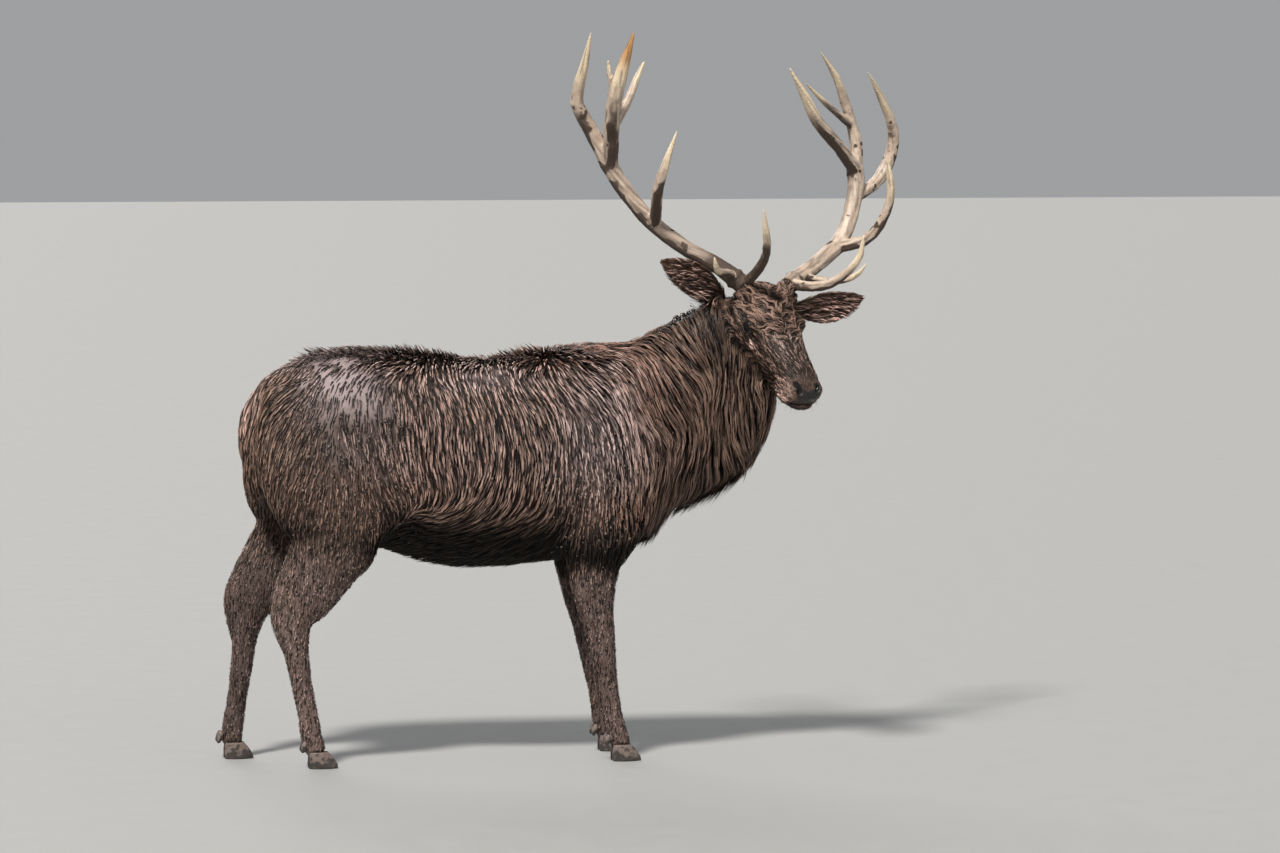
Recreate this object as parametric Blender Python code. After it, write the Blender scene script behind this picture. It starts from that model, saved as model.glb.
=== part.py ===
"""A red deer stag at life size, standing on four feet with its head turned to its right.

Metres, +Z up, +X from tail to chest, +Y to the animal's left. The flesh is lofted along the spine,
the neck and the limbs, melted into one skin, and parted into named lengths by thin cuts. Antlers,
hooves, dewclaws and eyes are solids of their own. The origin is on the floor, under the middle.
"""
import math

import bmesh
import bpy
from mathutils import Vector

# ---- driving dimensions -------------------------------------------------------------------------
GAP = 0.0004             # clearance of every thin cut
BODY_VOXEL = 0.009       # cell of the melted trunk and legs
HEAD_VOXEL = 0.0042      # cell of the melted head
BODY_TRIANGLES = 2150    # after thinning, before the cuts
HEAD_TRIANGLES = 1450

BROW = Vector((0.862, -0.190, 1.280))    # midpoint between the eyes
HEAD_TURN = math.radians(-77.0)          # heading of the antlers and ears, from +X
FACE_TURN = math.radians(-72.0)          # heading of the nose, turned a little less
HEAD_PITCH = math.radians(38.0)          # the nose points this far below level
EYE_SPREAD = 0.086                       # eye centre to the middle plane
EYE_RADIUS = 0.0190
EYE_BACK = 0.008                         # eye centre behind the brow
EYE_RAISE = 0.012                        # and above it
FACE_LENGTH = 0.264                      # brow to the tip of the nose

TAIL_ROOT = Vector((-0.664, 0.0, 1.075))  # middle of the cut between trunk and tail
NECK_ROOT = Vector((0.535, 0.0, 0.980))   # middle of the cut between trunk and neck
NAPE = Vector((0.800, -0.115, 1.330))     # middle of the cut between head and neck
NAPE_NORMAL = Vector((0.51, -0.74, 0.44))

FORE_FOOT = Vector((0.400, 0.118, 0.0))  # middle of a fore foot, left side
HIND_FOOT_NEAR = Vector((-0.512, -0.135, 0.0))
HIND_FOOT_FAR = Vector((-0.735, 0.135, 0.0))
HOOF_LENGTH = 0.086
HOOF_WIDTH = 0.036
HOOF_HEIGHT = 0.048

UP = Vector((0.0, 0.0, 1.0))
LEFTWARD = Vector((0.0, 1.0, 0.0))


# ---- frames and curves --------------------------------------------------------------------------
def clear_scene():
    for obj in list(bpy.data.objects):
        bpy.data.objects.remove(obj, do_unlink=True)


def head_axes():
    """Forward, left and dorsal directions of the pitched head."""
    heading = Vector((math.cos(FACE_TURN), math.sin(FACE_TURN), 0.0))
    left = UP.cross(heading)
    forward = heading * math.cos(HEAD_PITCH) - UP * math.sin(HEAD_PITCH)
    return forward, left, forward.cross(left)


def in_head(forward, left, dorsal):
    """World point of a place on the pitched head, measured from the brow."""
    f, s, d = head_axes()
    return BROW + f * forward + s * left + d * dorsal


def over_head(ahead, left, up):
    """World point measured from the brow in level axes that turn with the antlers."""
    heading = Vector((math.cos(HEAD_TURN), math.sin(HEAD_TURN), 0.0))
    return BROW + heading * ahead + UP.cross(heading) * left + UP * up


def smooth_rows(rows, spans):
    """Catmull-Rom rows between the given rows, with this many steps to a span."""
    rows = [[float(v) for v in row] for row in rows]
    padded = [rows[0]] + rows + [rows[-1]]
    out = []
    for i in range(len(rows) - 1):
        p0, p1, p2, p3 = padded[i:i + 4]
        for k in range(spans):
            t = k / spans
            out.append([
                0.5 * (2 * b + (c - a) * t + (2 * a - 5 * b + 4 * c - d) * t * t
                       + (3 * b - a - 3 * c + d) * t ** 3)
                for a, b, c, d in zip(p0, p1, p2, p3)
            ])
    out.append(rows[-1])
    return out


def tangents(points):
    last = len(points) - 1
    return [
        (points[min(i + 1, last)] - points[max(i - 1, 0)]).normalized()
        for i in range(len(points))
    ]


# ---- mesh builders ------------------------------------------------------------------------------
def object_of(name, verts, faces):
    mesh = bpy.data.meshes.new(name)
    mesh.from_pydata([tuple(v) for v in verts], [], faces)
    bm = bmesh.new()
    bm.from_mesh(mesh)
    bmesh.ops.recalc_face_normals(bm, faces=bm.faces)
    bm.to_mesh(mesh)
    bm.free()
    obj = bpy.data.objects.new(name, mesh)
    bpy.context.scene.collection.objects.link(obj)
    return obj


def skin_rings(name, rings):
    """A closed tube through rings of equal count, its ends closed by fans."""
    count = len(rings[0])
    verts = [p for ring in rings for p in ring]
    faces = []
    for r in range(len(rings) - 1):
        for k in range(count):
            n = (k + 1) % count
            a, b = r * count, (r + 1) * count
            faces.append((a + k, a + n, b + n, b + k))
    for ring, start in ((rings[0], 0), (rings[-1], (len(rings) - 1) * count)):
        verts.append(sum(ring, Vector()) / count)
        faces += [(start + k, start + (k + 1) % count, len(verts) - 1) for k in range(count)]
    return object_of(name, verts, faces)


def loft(name, rows, side, spans=3, count=24, power=2.2):
    """A limb or trunk. Each row is (x, y, z, half across, half ahead, half behind).

    side is the direction across; ahead is square to it and to the run of the rows.
    """
    rows = smooth_rows(rows, spans)
    points = [Vector(row[:3]) for row in rows]
    rings = []
    for row, centre, along in zip(rows, points, tangents(points)):
        across = (side - along * side.dot(along)).normalized()
        ahead = along.cross(across)
        ring = []
        for k in range(count):
            angle = 2 * math.pi * k / count
            c, s = math.cos(angle), math.sin(angle)
            depth = row[4] if s > 0 else row[5]
            ring.append(
                centre
                + across * (row[3] * math.copysign(abs(c) ** (2 / power), c))
                + ahead * (depth * math.copysign(abs(s) ** (2 / power), s))
            )
        rings.append(ring)
    return skin_rings(name, rings)


def ball(name, centre, radii, axes, segments=20, rings=12):
    """An ellipsoid with its three radii along the three axes."""
    bm = bmesh.new()
    bmesh.ops.create_uvsphere(bm, u_segments=segments, v_segments=rings, radius=1.0)
    for v in bm.verts:
        v.co = centre + sum((a * (r * c) for a, r, c in zip(axes, radii, v.co)), Vector())
    bmesh.ops.recalc_face_normals(bm, faces=bm.faces)
    mesh = bpy.data.meshes.new(name)
    bm.to_mesh(mesh)
    bm.free()
    obj = bpy.data.objects.new(name, mesh)
    bpy.context.scene.collection.objects.link(obj)
    return obj


def block(name, low, high, top, bottom):
    """A cutter between two slanting planes, each (height at the middle, slope x, slope y)."""
    middle = (low[0] + high[0]) / 2, (low[1] + high[1]) / 2
    corners = [(low[0], low[1]), (high[0], low[1]), (high[0], high[1]), (low[0], high[1])]
    verts = []
    for height, slope_x, slope_y in (bottom, top):
        for x, y in corners:
            z = height + slope_x * (x - middle[0]) + slope_y * (y - middle[1])
            verts.append(Vector((x, y, z)))
    faces = [(0, 1, 2, 3), (4, 5, 6, 7), (0, 1, 5, 4), (1, 2, 6, 5), (2, 3, 7, 6), (3, 0, 4, 7)]
    return object_of(name, verts, faces)


def half_space(name, point, normal, reach=0.6):
    """A square cutter block that starts at the point and fills the side the normal shows."""
    n = normal.normalized()
    a = n.cross(UP).normalized() * reach
    b = n.cross(a)
    base = [point - a - b, point + a - b, point + a + b, point - a + b]
    verts = base + [p + n * (2 * reach) for p in base]
    faces = [(0, 1, 2, 3), (4, 5, 6, 7), (0, 1, 5, 4), (1, 2, 6, 5), (2, 3, 7, 6), (3, 0, 4, 7)]
    return object_of(name, verts, faces)


# ---- operations ---------------------------------------------------------------------------------
def apply_modifiers(obj):
    graph = bpy.context.evaluated_depsgraph_get()
    mesh = bpy.data.meshes.new_from_object(obj.evaluated_get(graph), depsgraph=graph)
    obj.modifiers.clear()
    old = obj.data
    obj.data = mesh
    bpy.data.meshes.remove(old)


def copy_of(obj, name):
    twin = obj.copy()
    twin.data = obj.data.copy()
    twin.name = name
    bpy.context.scene.collection.objects.link(twin)
    return twin


def boolean(obj, cutter, operation, solver="EXACT"):
    modifier = obj.modifiers.new("cut", "BOOLEAN")
    modifier.operation = operation
    modifier.object = cutter
    modifier.solver = solver
    apply_modifiers(obj)


def remove(*objects):
    for obj in objects:
        bpy.data.objects.remove(obj, do_unlink=True)


def join(name, objects):
    """One object holding all the shells, which the voxel remesh then melts together."""
    bm = bmesh.new()
    for obj in objects:
        bm.from_mesh(obj.data)
    mesh = bpy.data.meshes.new(name)
    bm.to_mesh(mesh)
    bm.free()
    made = bpy.data.objects.new(name, mesh)
    bpy.context.scene.collection.objects.link(made)
    return made


def melt(obj, voxel, rounds, triangles):
    """Melts overlapping shells into one skin, smooths it, and thins it to about this many triangles."""
    remesh = obj.modifiers.new("melt", "REMESH")
    remesh.mode = "VOXEL"
    remesh.voxel_size = voxel
    relax = obj.modifiers.new("relax", "SMOOTH")
    relax.factor = 0.5
    relax.iterations = rounds
    apply_modifiers(obj)
    thin = obj.modifiers.new("thin", "DECIMATE")
    thin.ratio = triangles / (2 * len(obj.data.polygons))
    apply_modifiers(obj)


def largest_shell(obj):
    """Drops stray crumbs that a cut may leave beside the main piece."""
    bm = bmesh.new()
    bm.from_mesh(obj.data)
    bm.verts.ensure_lookup_table()
    seen, shells = set(), []
    for start in bm.verts:
        if start in seen:
            continue
        shell, todo = [], [start]
        seen.add(start)
        while todo:
            v = todo.pop()
            shell.append(v)
            for edge in v.link_edges:
                other = edge.other_vert(v)
                if other not in seen:
                    seen.add(other)
                    todo.append(other)
        shells.append(shell)
    shells.sort(key=len)
    for shell in shells[:-1]:
        bmesh.ops.delete(bm, geom=shell, context="VERTS")
    bm.to_mesh(obj.data)
    bm.free()


def grown(obj, name, by):
    """A copy whose surface stands out by this much, to cut a gap with."""
    twin = copy_of(obj, name)
    bm = bmesh.new()
    bm.from_mesh(twin.data)
    bm.normal_update()
    moved = [v.co + v.normal * by * max(v.calc_shell_factor(), 1.0) for v in bm.verts]
    for v, co in zip(bm.verts, moved):
        v.co = co
    bm.to_mesh(twin.data)
    bm.free()
    return twin


def clear_of(piece, others):
    """Cuts a small piece back from its neighbours. EXACT leaves a dewclaw overlapping its cannon."""
    for other in others:
        cutter = grown(other, "cutter", GAP)
        boolean(piece, cutter, "DIFFERENCE", "MANIFOLD")
        remove(cutter)
    largest_shell(piece)


def split_off(source, name, make_cutter):
    """Cuts a named piece from source. make_cutter(grow) returns a cutter that reaches grow further."""
    piece = copy_of(source, name)
    inner, outer = make_cutter(0.0), make_cutter(GAP)
    boolean(piece, inner, "INTERSECT")
    boolean(source, outer, "DIFFERENCE")
    remove(inner, outer)
    largest_shell(piece)
    largest_shell(source)
    return piece


# ---- materials ----------------------------------------------------------------------------------
def material(name, colour, roughness):
    found = bpy.data.materials.get(name)
    if found:
        return found
    made = bpy.data.materials.new(name)
    made.use_nodes = True
    shader = made.node_tree.nodes["Principled BSDF"]
    shader.inputs["Base Color"].default_value = (*colour, 1.0)
    shader.inputs["Roughness"].default_value = roughness
    shader.inputs["Metallic"].default_value = 0.0
    return made


def finish(obj, name, kind):
    looks = {
        "coat": ((0.085, 0.060, 0.047), 0.55),
        "antler": ((0.46, 0.37, 0.27), 0.6),
        "horn": ((0.035, 0.030, 0.027), 0.45),
        "eye": ((0.012, 0.008, 0.006), 0.08),
    }
    obj.name = name
    obj.data.name = name
    obj.data.materials.clear()
    obj.data.materials.append(material(kind, *looks[kind]))
    obj.data.shade_smooth()
    obj.data.set_sharp_from_angle(angle=math.radians(50))
    return obj


# ---- trunk and neck -----------------------------------------------------------------------------
def trunk_shells():
    """Barrel, withers, brisket and sheath. Rows: x, top, bottom, half width."""
    outline = [
        (-0.690, 1.055, 0.850, 0.060),
        (-0.655, 1.128, 0.760, 0.130),
        (-0.545, 1.200, 0.700, 0.185),
        (-0.420, 1.240, 0.660, 0.205),
        (-0.240, 1.228, 0.636, 0.215),
        (-0.060, 1.205, 0.600, 0.232),
        (0.070, 1.206, 0.586, 0.235),
        (0.220, 1.232, 0.594, 0.220),
        (0.340, 1.250, 0.610, 0.195),
        (0.460, 1.250, 0.655, 0.180),
        (0.540, 1.200, 0.730, 0.130),
    ]
    share_above = 0.47
    rows = []
    for x, top, bottom, half in outline:
        middle = top - (top - bottom) * share_above
        rows.append((x, 0.0, middle, half, top - middle, middle - bottom))
    barrel = loft("barrel", rows, LEFTWARD, spans=4, count=32, power=2.3)
    sheath = loft("sheath", [
        (-0.300, 0, 0.690, 0.045, 0.04, 0.045),
        (-0.180, 0, 0.640, 0.050, 0.05, 0.042),
        (-0.060, 0, 0.612, 0.050, 0.05, 0.034),
        (0.080, 0, 0.605, 0.060, 0.05, 0.026),
    ], LEFTWARD)
    axes = (Vector((1, 0, 0)), LEFTWARD, UP)
    scrotum = ball("scrotum", Vector((-0.450, 0.0, 0.668)), (0.045, 0.042, 0.062), axes)
    return [barrel, sheath, scrotum]


def shoulder_shells(side):
    """Shoulder blade and upper arm muscle; side is -1 on the right."""
    blade = loft("blade", [
        (0.350, side * 0.070, 1.190, 0.045, 0.070, 0.080),
        (0.400, side * 0.125, 1.060, 0.060, 0.105, 0.115),
        (0.435, side * 0.145, 0.900, 0.070, 0.125, 0.150),
        (0.375, side * 0.145, 0.740, 0.070, 0.120, 0.120),
        (0.330, side * 0.135, 0.620, 0.055, 0.090, 0.085),
    ], LEFTWARD)
    breast = loft("breast", [
        (0.440, side * 0.070, 1.000, 0.070, 0.100, 0.10),
        (0.515, side * 0.085, 0.850, 0.075, 0.095, 0.12),
        (0.450, side * 0.070, 0.720, 0.070, 0.068, 0.12),
    ], LEFTWARD)
    return [blade, breast]


def neck_shells():
    """Neck and mane, from the withers to the nape, swinging to the right."""
    neck = loft("neck", [
        (0.360, 0.000, 1.000, 0.165, 0.255, 0.270),
        (0.480, 0.000, 1.010, 0.182, 0.245, 0.275),
        (0.590, -0.010, 1.050, 0.170, 0.242, 0.245),
        (0.690, -0.035, 1.125, 0.146, 0.238, 0.205),
        (0.760, -0.070, 1.215, 0.128, 0.212, 0.155),
        (0.812, -0.100, 1.290, 0.106, 0.164, 0.105),
        (0.842, -0.120, 1.340, 0.080, 0.105, 0.070),
    ], LEFTWARD, spans=4, count=28, power=2.1)
    mane = loft("mane", [
        (0.520, -0.005, 0.835, 0.105, 0.10, 0.105),
        (0.645, -0.020, 0.880, 0.105, 0.12, 0.098),
        (0.742, -0.045, 0.956, 0.100, 0.14, 0.110),
        (0.794, -0.085, 1.070, 0.094, 0.12, 0.098),
        (0.815, -0.125, 1.165, 0.078, 0.08, 0.076),
    ], LEFTWARD)
    return [neck, mane]


# ---- legs ---------------------------------------------------------------------------------------
def fore_leg(side):
    """Foreleg from the elbow to the pastern."""
    y = side * FORE_FOOT.y
    x = FORE_FOOT.x
    return [loft("fore_leg", [
        (x - 0.075, y * 1.10, 0.680, 0.060, 0.090, 0.105),
        (x - 0.076, y * 1.05, 0.600, 0.052, 0.080, 0.088),
        (x - 0.074, y * 1.02, 0.480, 0.042, 0.062, 0.062),
        (x - 0.058, y, 0.390, 0.037, 0.047, 0.047),
        (x - 0.048, y, 0.335, 0.037, 0.044, 0.045),
        (x - 0.040, y, 0.280, 0.031, 0.036, 0.040),
        (x - 0.026, y, 0.200, 0.026, 0.030, 0.034),
        (x - 0.014, y, 0.130, 0.027, 0.030, 0.035),
        (x - 0.008, y, 0.098, 0.031, 0.033, 0.040),
        (x + 0.002, y, 0.066, 0.030, 0.031, 0.036),
        (x + 0.008, y, 0.038, 0.034, 0.034, 0.032),
    ], LEFTWARD)]


def hind_leg(foot, hock, stifle):
    """Hind leg through a hip over the croup, a stifle, a hock and a foot, given by their x."""
    side = math.copysign(1.0, foot.y)
    y, hip = foot.y, -0.530

    def between(start, end, share):
        return start + (end - start) * share

    thigh = loft("thigh", [
        (hip, side * 0.085, 1.120, 0.075, 0.120, 0.120),
        (hip, side * 0.125, 1.000, 0.084, 0.150, 0.158),
        (between(hip, stifle, 0.2), side * 0.148, 0.900, 0.084, 0.170, 0.174),
        (between(hip, stifle, 0.6), side * 0.152, 0.800, 0.076, 0.162, 0.170),
        (stifle, side * 0.150, 0.700, 0.062, 0.132, 0.138),
        (between(stifle, hock, 0.22), side * 0.148, 0.640, 0.055, 0.120, 0.120),
    ], LEFTWARD)
    shank = loft("shank", [
        (stifle, side * 0.150, 0.700, 0.060, 0.128, 0.130),
        (between(stifle, hock, 0.37), side * 0.147, 0.612, 0.051, 0.115, 0.112),
        (between(stifle, hock, 0.75), y * 1.04, 0.520, 0.042, 0.098, 0.100),
        (between(stifle, hock, 0.97), y, 0.468, 0.037, 0.082, 0.084),
        (hock - 0.004, y, 0.420, 0.034, 0.062, 0.062),
        (between(hock, foot.x, 0.15), y, 0.350, 0.029, 0.040, 0.042),
    ], LEFTWARD)
    cannon = loft("cannon", [
        (hock, y, 0.430, 0.034, 0.055, 0.058),
        (between(hock, foot.x, 0.15), y, 0.350, 0.029, 0.040, 0.042),
        (between(hock, foot.x, 0.36), y, 0.262, 0.026, 0.035, 0.037),
        (between(hock, foot.x, 0.66), y, 0.165, 0.026, 0.032, 0.035),
        (between(hock, foot.x, 0.82), y, 0.105, 0.030, 0.034, 0.039),
        (between(hock, foot.x, 0.94), y, 0.068, 0.030, 0.032, 0.037),
        (foot.x + 0.006, y, 0.038, 0.034, 0.034, 0.033),
    ], LEFTWARD)
    return [thigh, shank, cannon]


def tail_shells():
    return [loft("tail", [
        (-0.640, 0.0, 1.098, 0.045, 0.040, 0.040),
        (-0.683, 0.0, 1.060, 0.040, 0.028, 0.028),
        (-0.703, 0.0, 1.000, 0.038, 0.024, 0.024),
        (-0.708, 0.0, 0.940, 0.034, 0.020, 0.020),
        (-0.706, 0.0, 0.895, 0.016, 0.012, 0.012),
    ], LEFTWARD)]


# ---- head ---------------------------------------------------------------------------------------
def head_shells():
    """Skull, cheeks, muzzle and jaw, in rows of (forward, half width, top, bottom) from the brow."""
    f, s, d = head_axes()

    def profile(name, table, power):
        rows = []
        for forward, half, top, bottom in table:
            middle = (top + bottom) / 2
            rows.append((*in_head(forward, 0.0, middle), half, top - middle, middle - bottom))
        return loft(name, rows, s, spans=4, count=28, power=power)

    skull = profile("skull", [
        (-0.185, 0.050, 0.030, -0.080),
        (-0.160, 0.072, 0.058, -0.100),
        (-0.110, 0.084, 0.076, -0.110),
        (-0.050, 0.084, 0.074, -0.112),
        (0.000, 0.081, 0.060, -0.106),
        (0.045, 0.075, 0.048, -0.100),
        (0.095, 0.068, 0.036, -0.093),
        (0.140, 0.064, 0.028, -0.088),
        (0.180, 0.063, 0.022, -0.081),
        (0.212, 0.062, 0.014, -0.073),
        (0.238, 0.058, 0.002, -0.066),
        (0.254, 0.050, -0.012, -0.061),
        (FACE_LENGTH, 0.036, -0.026, -0.057),
    ], 2.3)
    jaw = profile("jaw", [
        (-0.090, 0.050, -0.040, -0.130),
        (-0.040, 0.058, -0.040, -0.142),
        (0.020, 0.054, -0.045, -0.138),
        (0.090, 0.049, -0.045, -0.120),
        (0.150, 0.047, -0.045, -0.106),
        (0.200, 0.046, -0.046, -0.096),
        (0.235, 0.043, -0.048, -0.090),
        (0.254, 0.036, -0.052, -0.085),
        (FACE_LENGTH, 0.022, -0.058, -0.079),
    ], 2.2)
    shells = [skull, jaw]
    for side in (-1, 1):
        shells.append(ball("cheek", in_head(-0.020, side * 0.052, -0.070), (0.075, 0.030, 0.055), (f, s, d)))
        shells.append(ball("orbit", in_head(-0.010, side * 0.071, 0.018), (0.040, 0.024, 0.030), (f, s, d)))
        shells.append(ball("nostril_wing", in_head(0.236, side * 0.030, -0.012), (0.028, 0.024, 0.022), (f, s, d)))
        shells.append(ball("lip", in_head(0.205, side * 0.046, -0.064), (0.044, 0.020, 0.018), (f, s, d)))
        shells.append(ball("ear_root", over_head(-0.086, side * 0.078, 0.093), (0.035, 0.030, 0.035), (f, s, d)))
        pedicle = [(*over_head(-0.052, side * 0.045, 0.085), 0.030, 0.030, 0.030),
                   (*over_head(-0.075, side * 0.074, 0.140), 0.030, 0.030, 0.030)]
        shells.append(loft("pedicle", pedicle, f, spans=3, count=16, power=2.0))
    return shells


def ear(name, root, tip, opening, across=0.052):
    """A cupped ear from root to tip, open towards the given direction."""
    run = (tip - root)
    length = run.length
    along = run.normalized()
    out = (opening - along * opening.dot(along)).normalized()
    side = along.cross(out)
    wall = 0.0065
    stations = [(0.00, 0.40, 0.85), (0.12, 0.52, 0.80), (0.26, 0.78, 0.62), (0.42, 0.98, 0.46),
                (0.58, 0.98, 0.36), (0.74, 0.80, 0.28), (0.88, 0.48, 0.20), (0.97, 0.20, 0.12),
                (1.00, 0.07, 0.06)]
    steps = 6
    rings = []
    for share, width, cup in smooth_rows(stations, 1):
        centre = root + along * (length * share) + side * (0.012 * math.sin(math.pi * share))
        half, depth = across * width, across * width * cup * 1.25
        thick = wall * (0.45 + 0.55 * width)
        outer, inner = [], []
        for k in range(steps):
            swing = math.pi * k / (steps - 1)
            c, s = math.cos(swing), math.sin(swing)
            outer.append(centre + side * (half * c) - out * (depth * s))
            inset = max(half - thick, half * 0.45)
            sunk = max(depth - thick * 1.4, depth * 0.2)
            inner.append(centre + side * (inset * c) - out * (sunk * s) + out * (thick * 0.3))
        rings.append(outer + inner[::-1])
    return skin_rings(name, rings)


# ---- antlers ------------------------------------------------------------------------------------
# Rows: ahead, left, up (from the brow, level axes), radius. Each name becomes its own node.
ANTLERS = {
    "right": {
        "beam_lower": [(-0.075, -0.074, 0.140, 0.029), (-0.110, -0.140, 0.196, 0.025),
                       (-0.155, -0.210, 0.240, 0.024), (-0.190, -0.272, 0.288, 0.024),
                       (-0.212, -0.312, 0.326, 0.025)],
        "beam_upper": [(-0.212, -0.312, 0.326, 0.025), (-0.230, -0.358, 0.380, 0.024),
                       (-0.245, -0.400, 0.442, 0.025), (-0.252, -0.438, 0.505, 0.027)],
        "crown_rear": [(-0.252, -0.438, 0.505, 0.026), (-0.258, -0.488, 0.600, 0.023),
                       (-0.250, -0.530, 0.662, 0.022), (-0.240, -0.541, 0.705, 0.020),
                       (-0.208, -0.531, 0.790, 0.014), (-0.170, -0.524, 0.890, 0.003)],
        "crown_front": [(-0.246, -0.430, 0.495, 0.024), (-0.205, -0.446, 0.575, 0.024),
                        (-0.150, -0.462, 0.665, 0.024), (-0.112, -0.460, 0.742, 0.023),
                        (-0.080, -0.448, 0.820, 0.015), (-0.060, -0.433, 0.890, 0.003)],
        "crown_inner": [(-0.178, -0.450, 0.610, 0.015), (-0.195, -0.396, 0.685, 0.014),
                        (-0.208, -0.363, 0.750, 0.011), (-0.220, -0.331, 0.803, 0.005)],
        "crown_spur": [(-0.125, -0.466, 0.715, 0.012), (-0.128, -0.483, 0.765, 0.009),
                       (-0.130, -0.485, 0.806, 0.004)],
        "brow_tine": [(-0.062, -0.066, 0.150, 0.018), (0.005, -0.058, 0.190, 0.016),
                      (0.062, -0.060, 0.240, 0.014), (0.102, -0.078, 0.300, 0.011),
                      (0.128, -0.100, 0.372, 0.003)],
        "bey_tine": [(-0.088, -0.102, 0.166, 0.016), (-0.030, -0.150, 0.178, 0.013),
                     (0.020, -0.194, 0.184, 0.011), (0.048, -0.216, 0.200, 0.009),
                     (0.058, -0.226, 0.230, 0.003)],
        "trez_tine": [(-0.205, -0.304, 0.318, 0.021), (-0.152, -0.322, 0.376, 0.018),
                      (-0.112, -0.335, 0.424, 0.017), (-0.080, -0.327, 0.490, 0.014),
                      (-0.052, -0.298, 0.600, 0.003)],
    },
    "left": {
        "beam_lower": [(-0.075, 0.074, 0.136, 0.029), (-0.112, 0.150, 0.172, 0.026),
                       (-0.155, 0.222, 0.206, 0.026), (-0.192, 0.291, 0.248, 0.027)],
        "beam_upper": [(-0.192, 0.291, 0.248, 0.026), (-0.212, 0.333, 0.305, 0.025),
                       (-0.230, 0.361, 0.372, 0.025), (-0.246, 0.379, 0.434, 0.027),
                       (-0.250, 0.375, 0.480, 0.029)],
        "crown_inner": [(-0.245, 0.379, 0.468, 0.024), (-0.212, 0.305, 0.545, 0.021),
                        (-0.170, 0.213, 0.622, 0.020), (-0.142, 0.158, 0.700, 0.015),
                        (-0.120, 0.098, 0.784, 0.003)],
        "crown_rear": [(-0.250, 0.377, 0.480, 0.023), (-0.258, 0.383, 0.550, 0.020),
                       (-0.260, 0.371, 0.610, 0.018), (-0.250, 0.345, 0.672, 0.016),
                       (-0.222, 0.298, 0.758, 0.012), (-0.190, 0.232, 0.832, 0.003)],
        "crown_spur": [(-0.259, 0.369, 0.608, 0.013), (-0.222, 0.301, 0.648, 0.012),
                       (-0.182, 0.231, 0.690, 0.009), (-0.150, 0.165, 0.738, 0.003)],
        "crown_outer": [(-0.236, 0.365, 0.388, 0.019), (-0.258, 0.417, 0.412, 0.020),
                        (-0.278, 0.473, 0.448, 0.021), (-0.282, 0.513, 0.520, 0.020),
                        (-0.270, 0.513, 0.600, 0.018), (-0.240, 0.465, 0.680, 0.014),
                        (-0.200, 0.395, 0.772, 0.003)],
        "brow_tine": [(-0.062, 0.086, 0.138, 0.018), (0.000, 0.120, 0.134, 0.016),
                      (0.050, 0.156, 0.145, 0.015), (0.090, 0.196, 0.182, 0.013),
                      (0.120, 0.220, 0.230, 0.011), (0.140, 0.222, 0.292, 0.003)],
        "bey_tine": [(-0.096, 0.130, 0.160, 0.013), (-0.050, 0.205, 0.146, 0.011),
                     (-0.020, 0.248, 0.154, 0.010), (0.002, 0.272, 0.172, 0.008),
                     (0.020, 0.288, 0.202, 0.0025)],
        "trez_tine": [(-0.186, 0.284, 0.244, 0.021), (-0.140, 0.354, 0.262, 0.018),
                      (-0.100, 0.390, 0.312, 0.016), (-0.070, 0.408, 0.386, 0.014),
                      (-0.052, 0.400, 0.450, 0.012), (-0.040, 0.382, 0.520, 0.003)],
    },
}
BEAMS_FIRST = ("beam_lower", "beam_upper")
BEAM_SIDES = 8
TINE_SIDES = 6


def tine(name, rows, count, grow=0.0):
    """A round tapering tube through the rows, standing out further by grow all over."""
    rows = smooth_rows([(*over_head(*row[:3]), row[3]) for row in rows], 2)
    points = [Vector(row[:3]) for row in rows]
    runs = tangents(points)
    points[0] -= runs[0] * grow
    points[-1] += runs[-1] * grow
    spread = grow / math.cos(math.pi / count)
    across = runs[0].orthogonal().normalized()
    rings = []
    for row, centre, along in zip(rows, points, runs):
        across = (across - along * across.dot(along)).normalized()
        other = along.cross(across)
        rings.append([
            centre + (across * math.cos(a) + other * math.sin(a)) * (row[3] + spread)
            for a in (2 * math.pi * k / count for k in range(count))
        ])
    return skin_rings(name, rings)


def antler(side_name, head):
    """All pieces of one antler, each cut clear of the ones before it, and the beam set in the head."""
    table = ANTLERS[side_name]
    names = [n for n in table if n in BEAMS_FIRST] + [n for n in table if n not in BEAMS_FIRST]
    made, cutters = [], []
    for kind in names:
        sides = BEAM_SIDES if kind in BEAMS_FIRST else TINE_SIDES
        piece = tine(f"antler_{side_name}_{kind}", table[kind], sides)
        for cutter in cutters:
            boolean(piece, cutter, "DIFFERENCE")
        if made:
            clear_of(piece, [head])
        made.append(piece)
        cutters.append(tine("cutter", table[kind], sides, grow=GAP))
    boolean(head, cutters[0], "DIFFERENCE")
    largest_shell(head)
    remove(*cutters)
    return made


# ---- feet ---------------------------------------------------------------------------------------
def hoof(name, centre, side, turn=0.0):
    """One claw of a cloven foot, flat below, its point turned a little inwards."""
    inward = -side
    levels = [(0.0, 1.00, 0.0), (0.012, 0.99, -0.001), (0.030, 0.86, -0.006), (HOOF_HEIGHT, 0.66, -0.012)]
    count = 10
    rings = []
    for height, share, back in levels:
        ring = []
        for k in range(count):
            angle = 2 * math.pi * k / count
            c, s = math.cos(angle), math.sin(angle)
            ahead = c * HOOF_LENGTH / 2 * (1.0 if c < 0 else 1.06)
            narrow = 1.0 - 0.55 * max(c, 0.0) ** 1.6
            wide = s * HOOF_WIDTH / 2 * narrow + inward * 0.006 * max(c, 0.0) ** 2
            x, y = ahead * share + back, wide * (0.35 + 0.65 * share)
            ring.append(centre + Vector((
                x * math.cos(turn) - y * math.sin(turn),
                x * math.sin(turn) + y * math.cos(turn),
                height,
            )))
        rings.append(ring)
    return skin_rings(name, rings)


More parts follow.
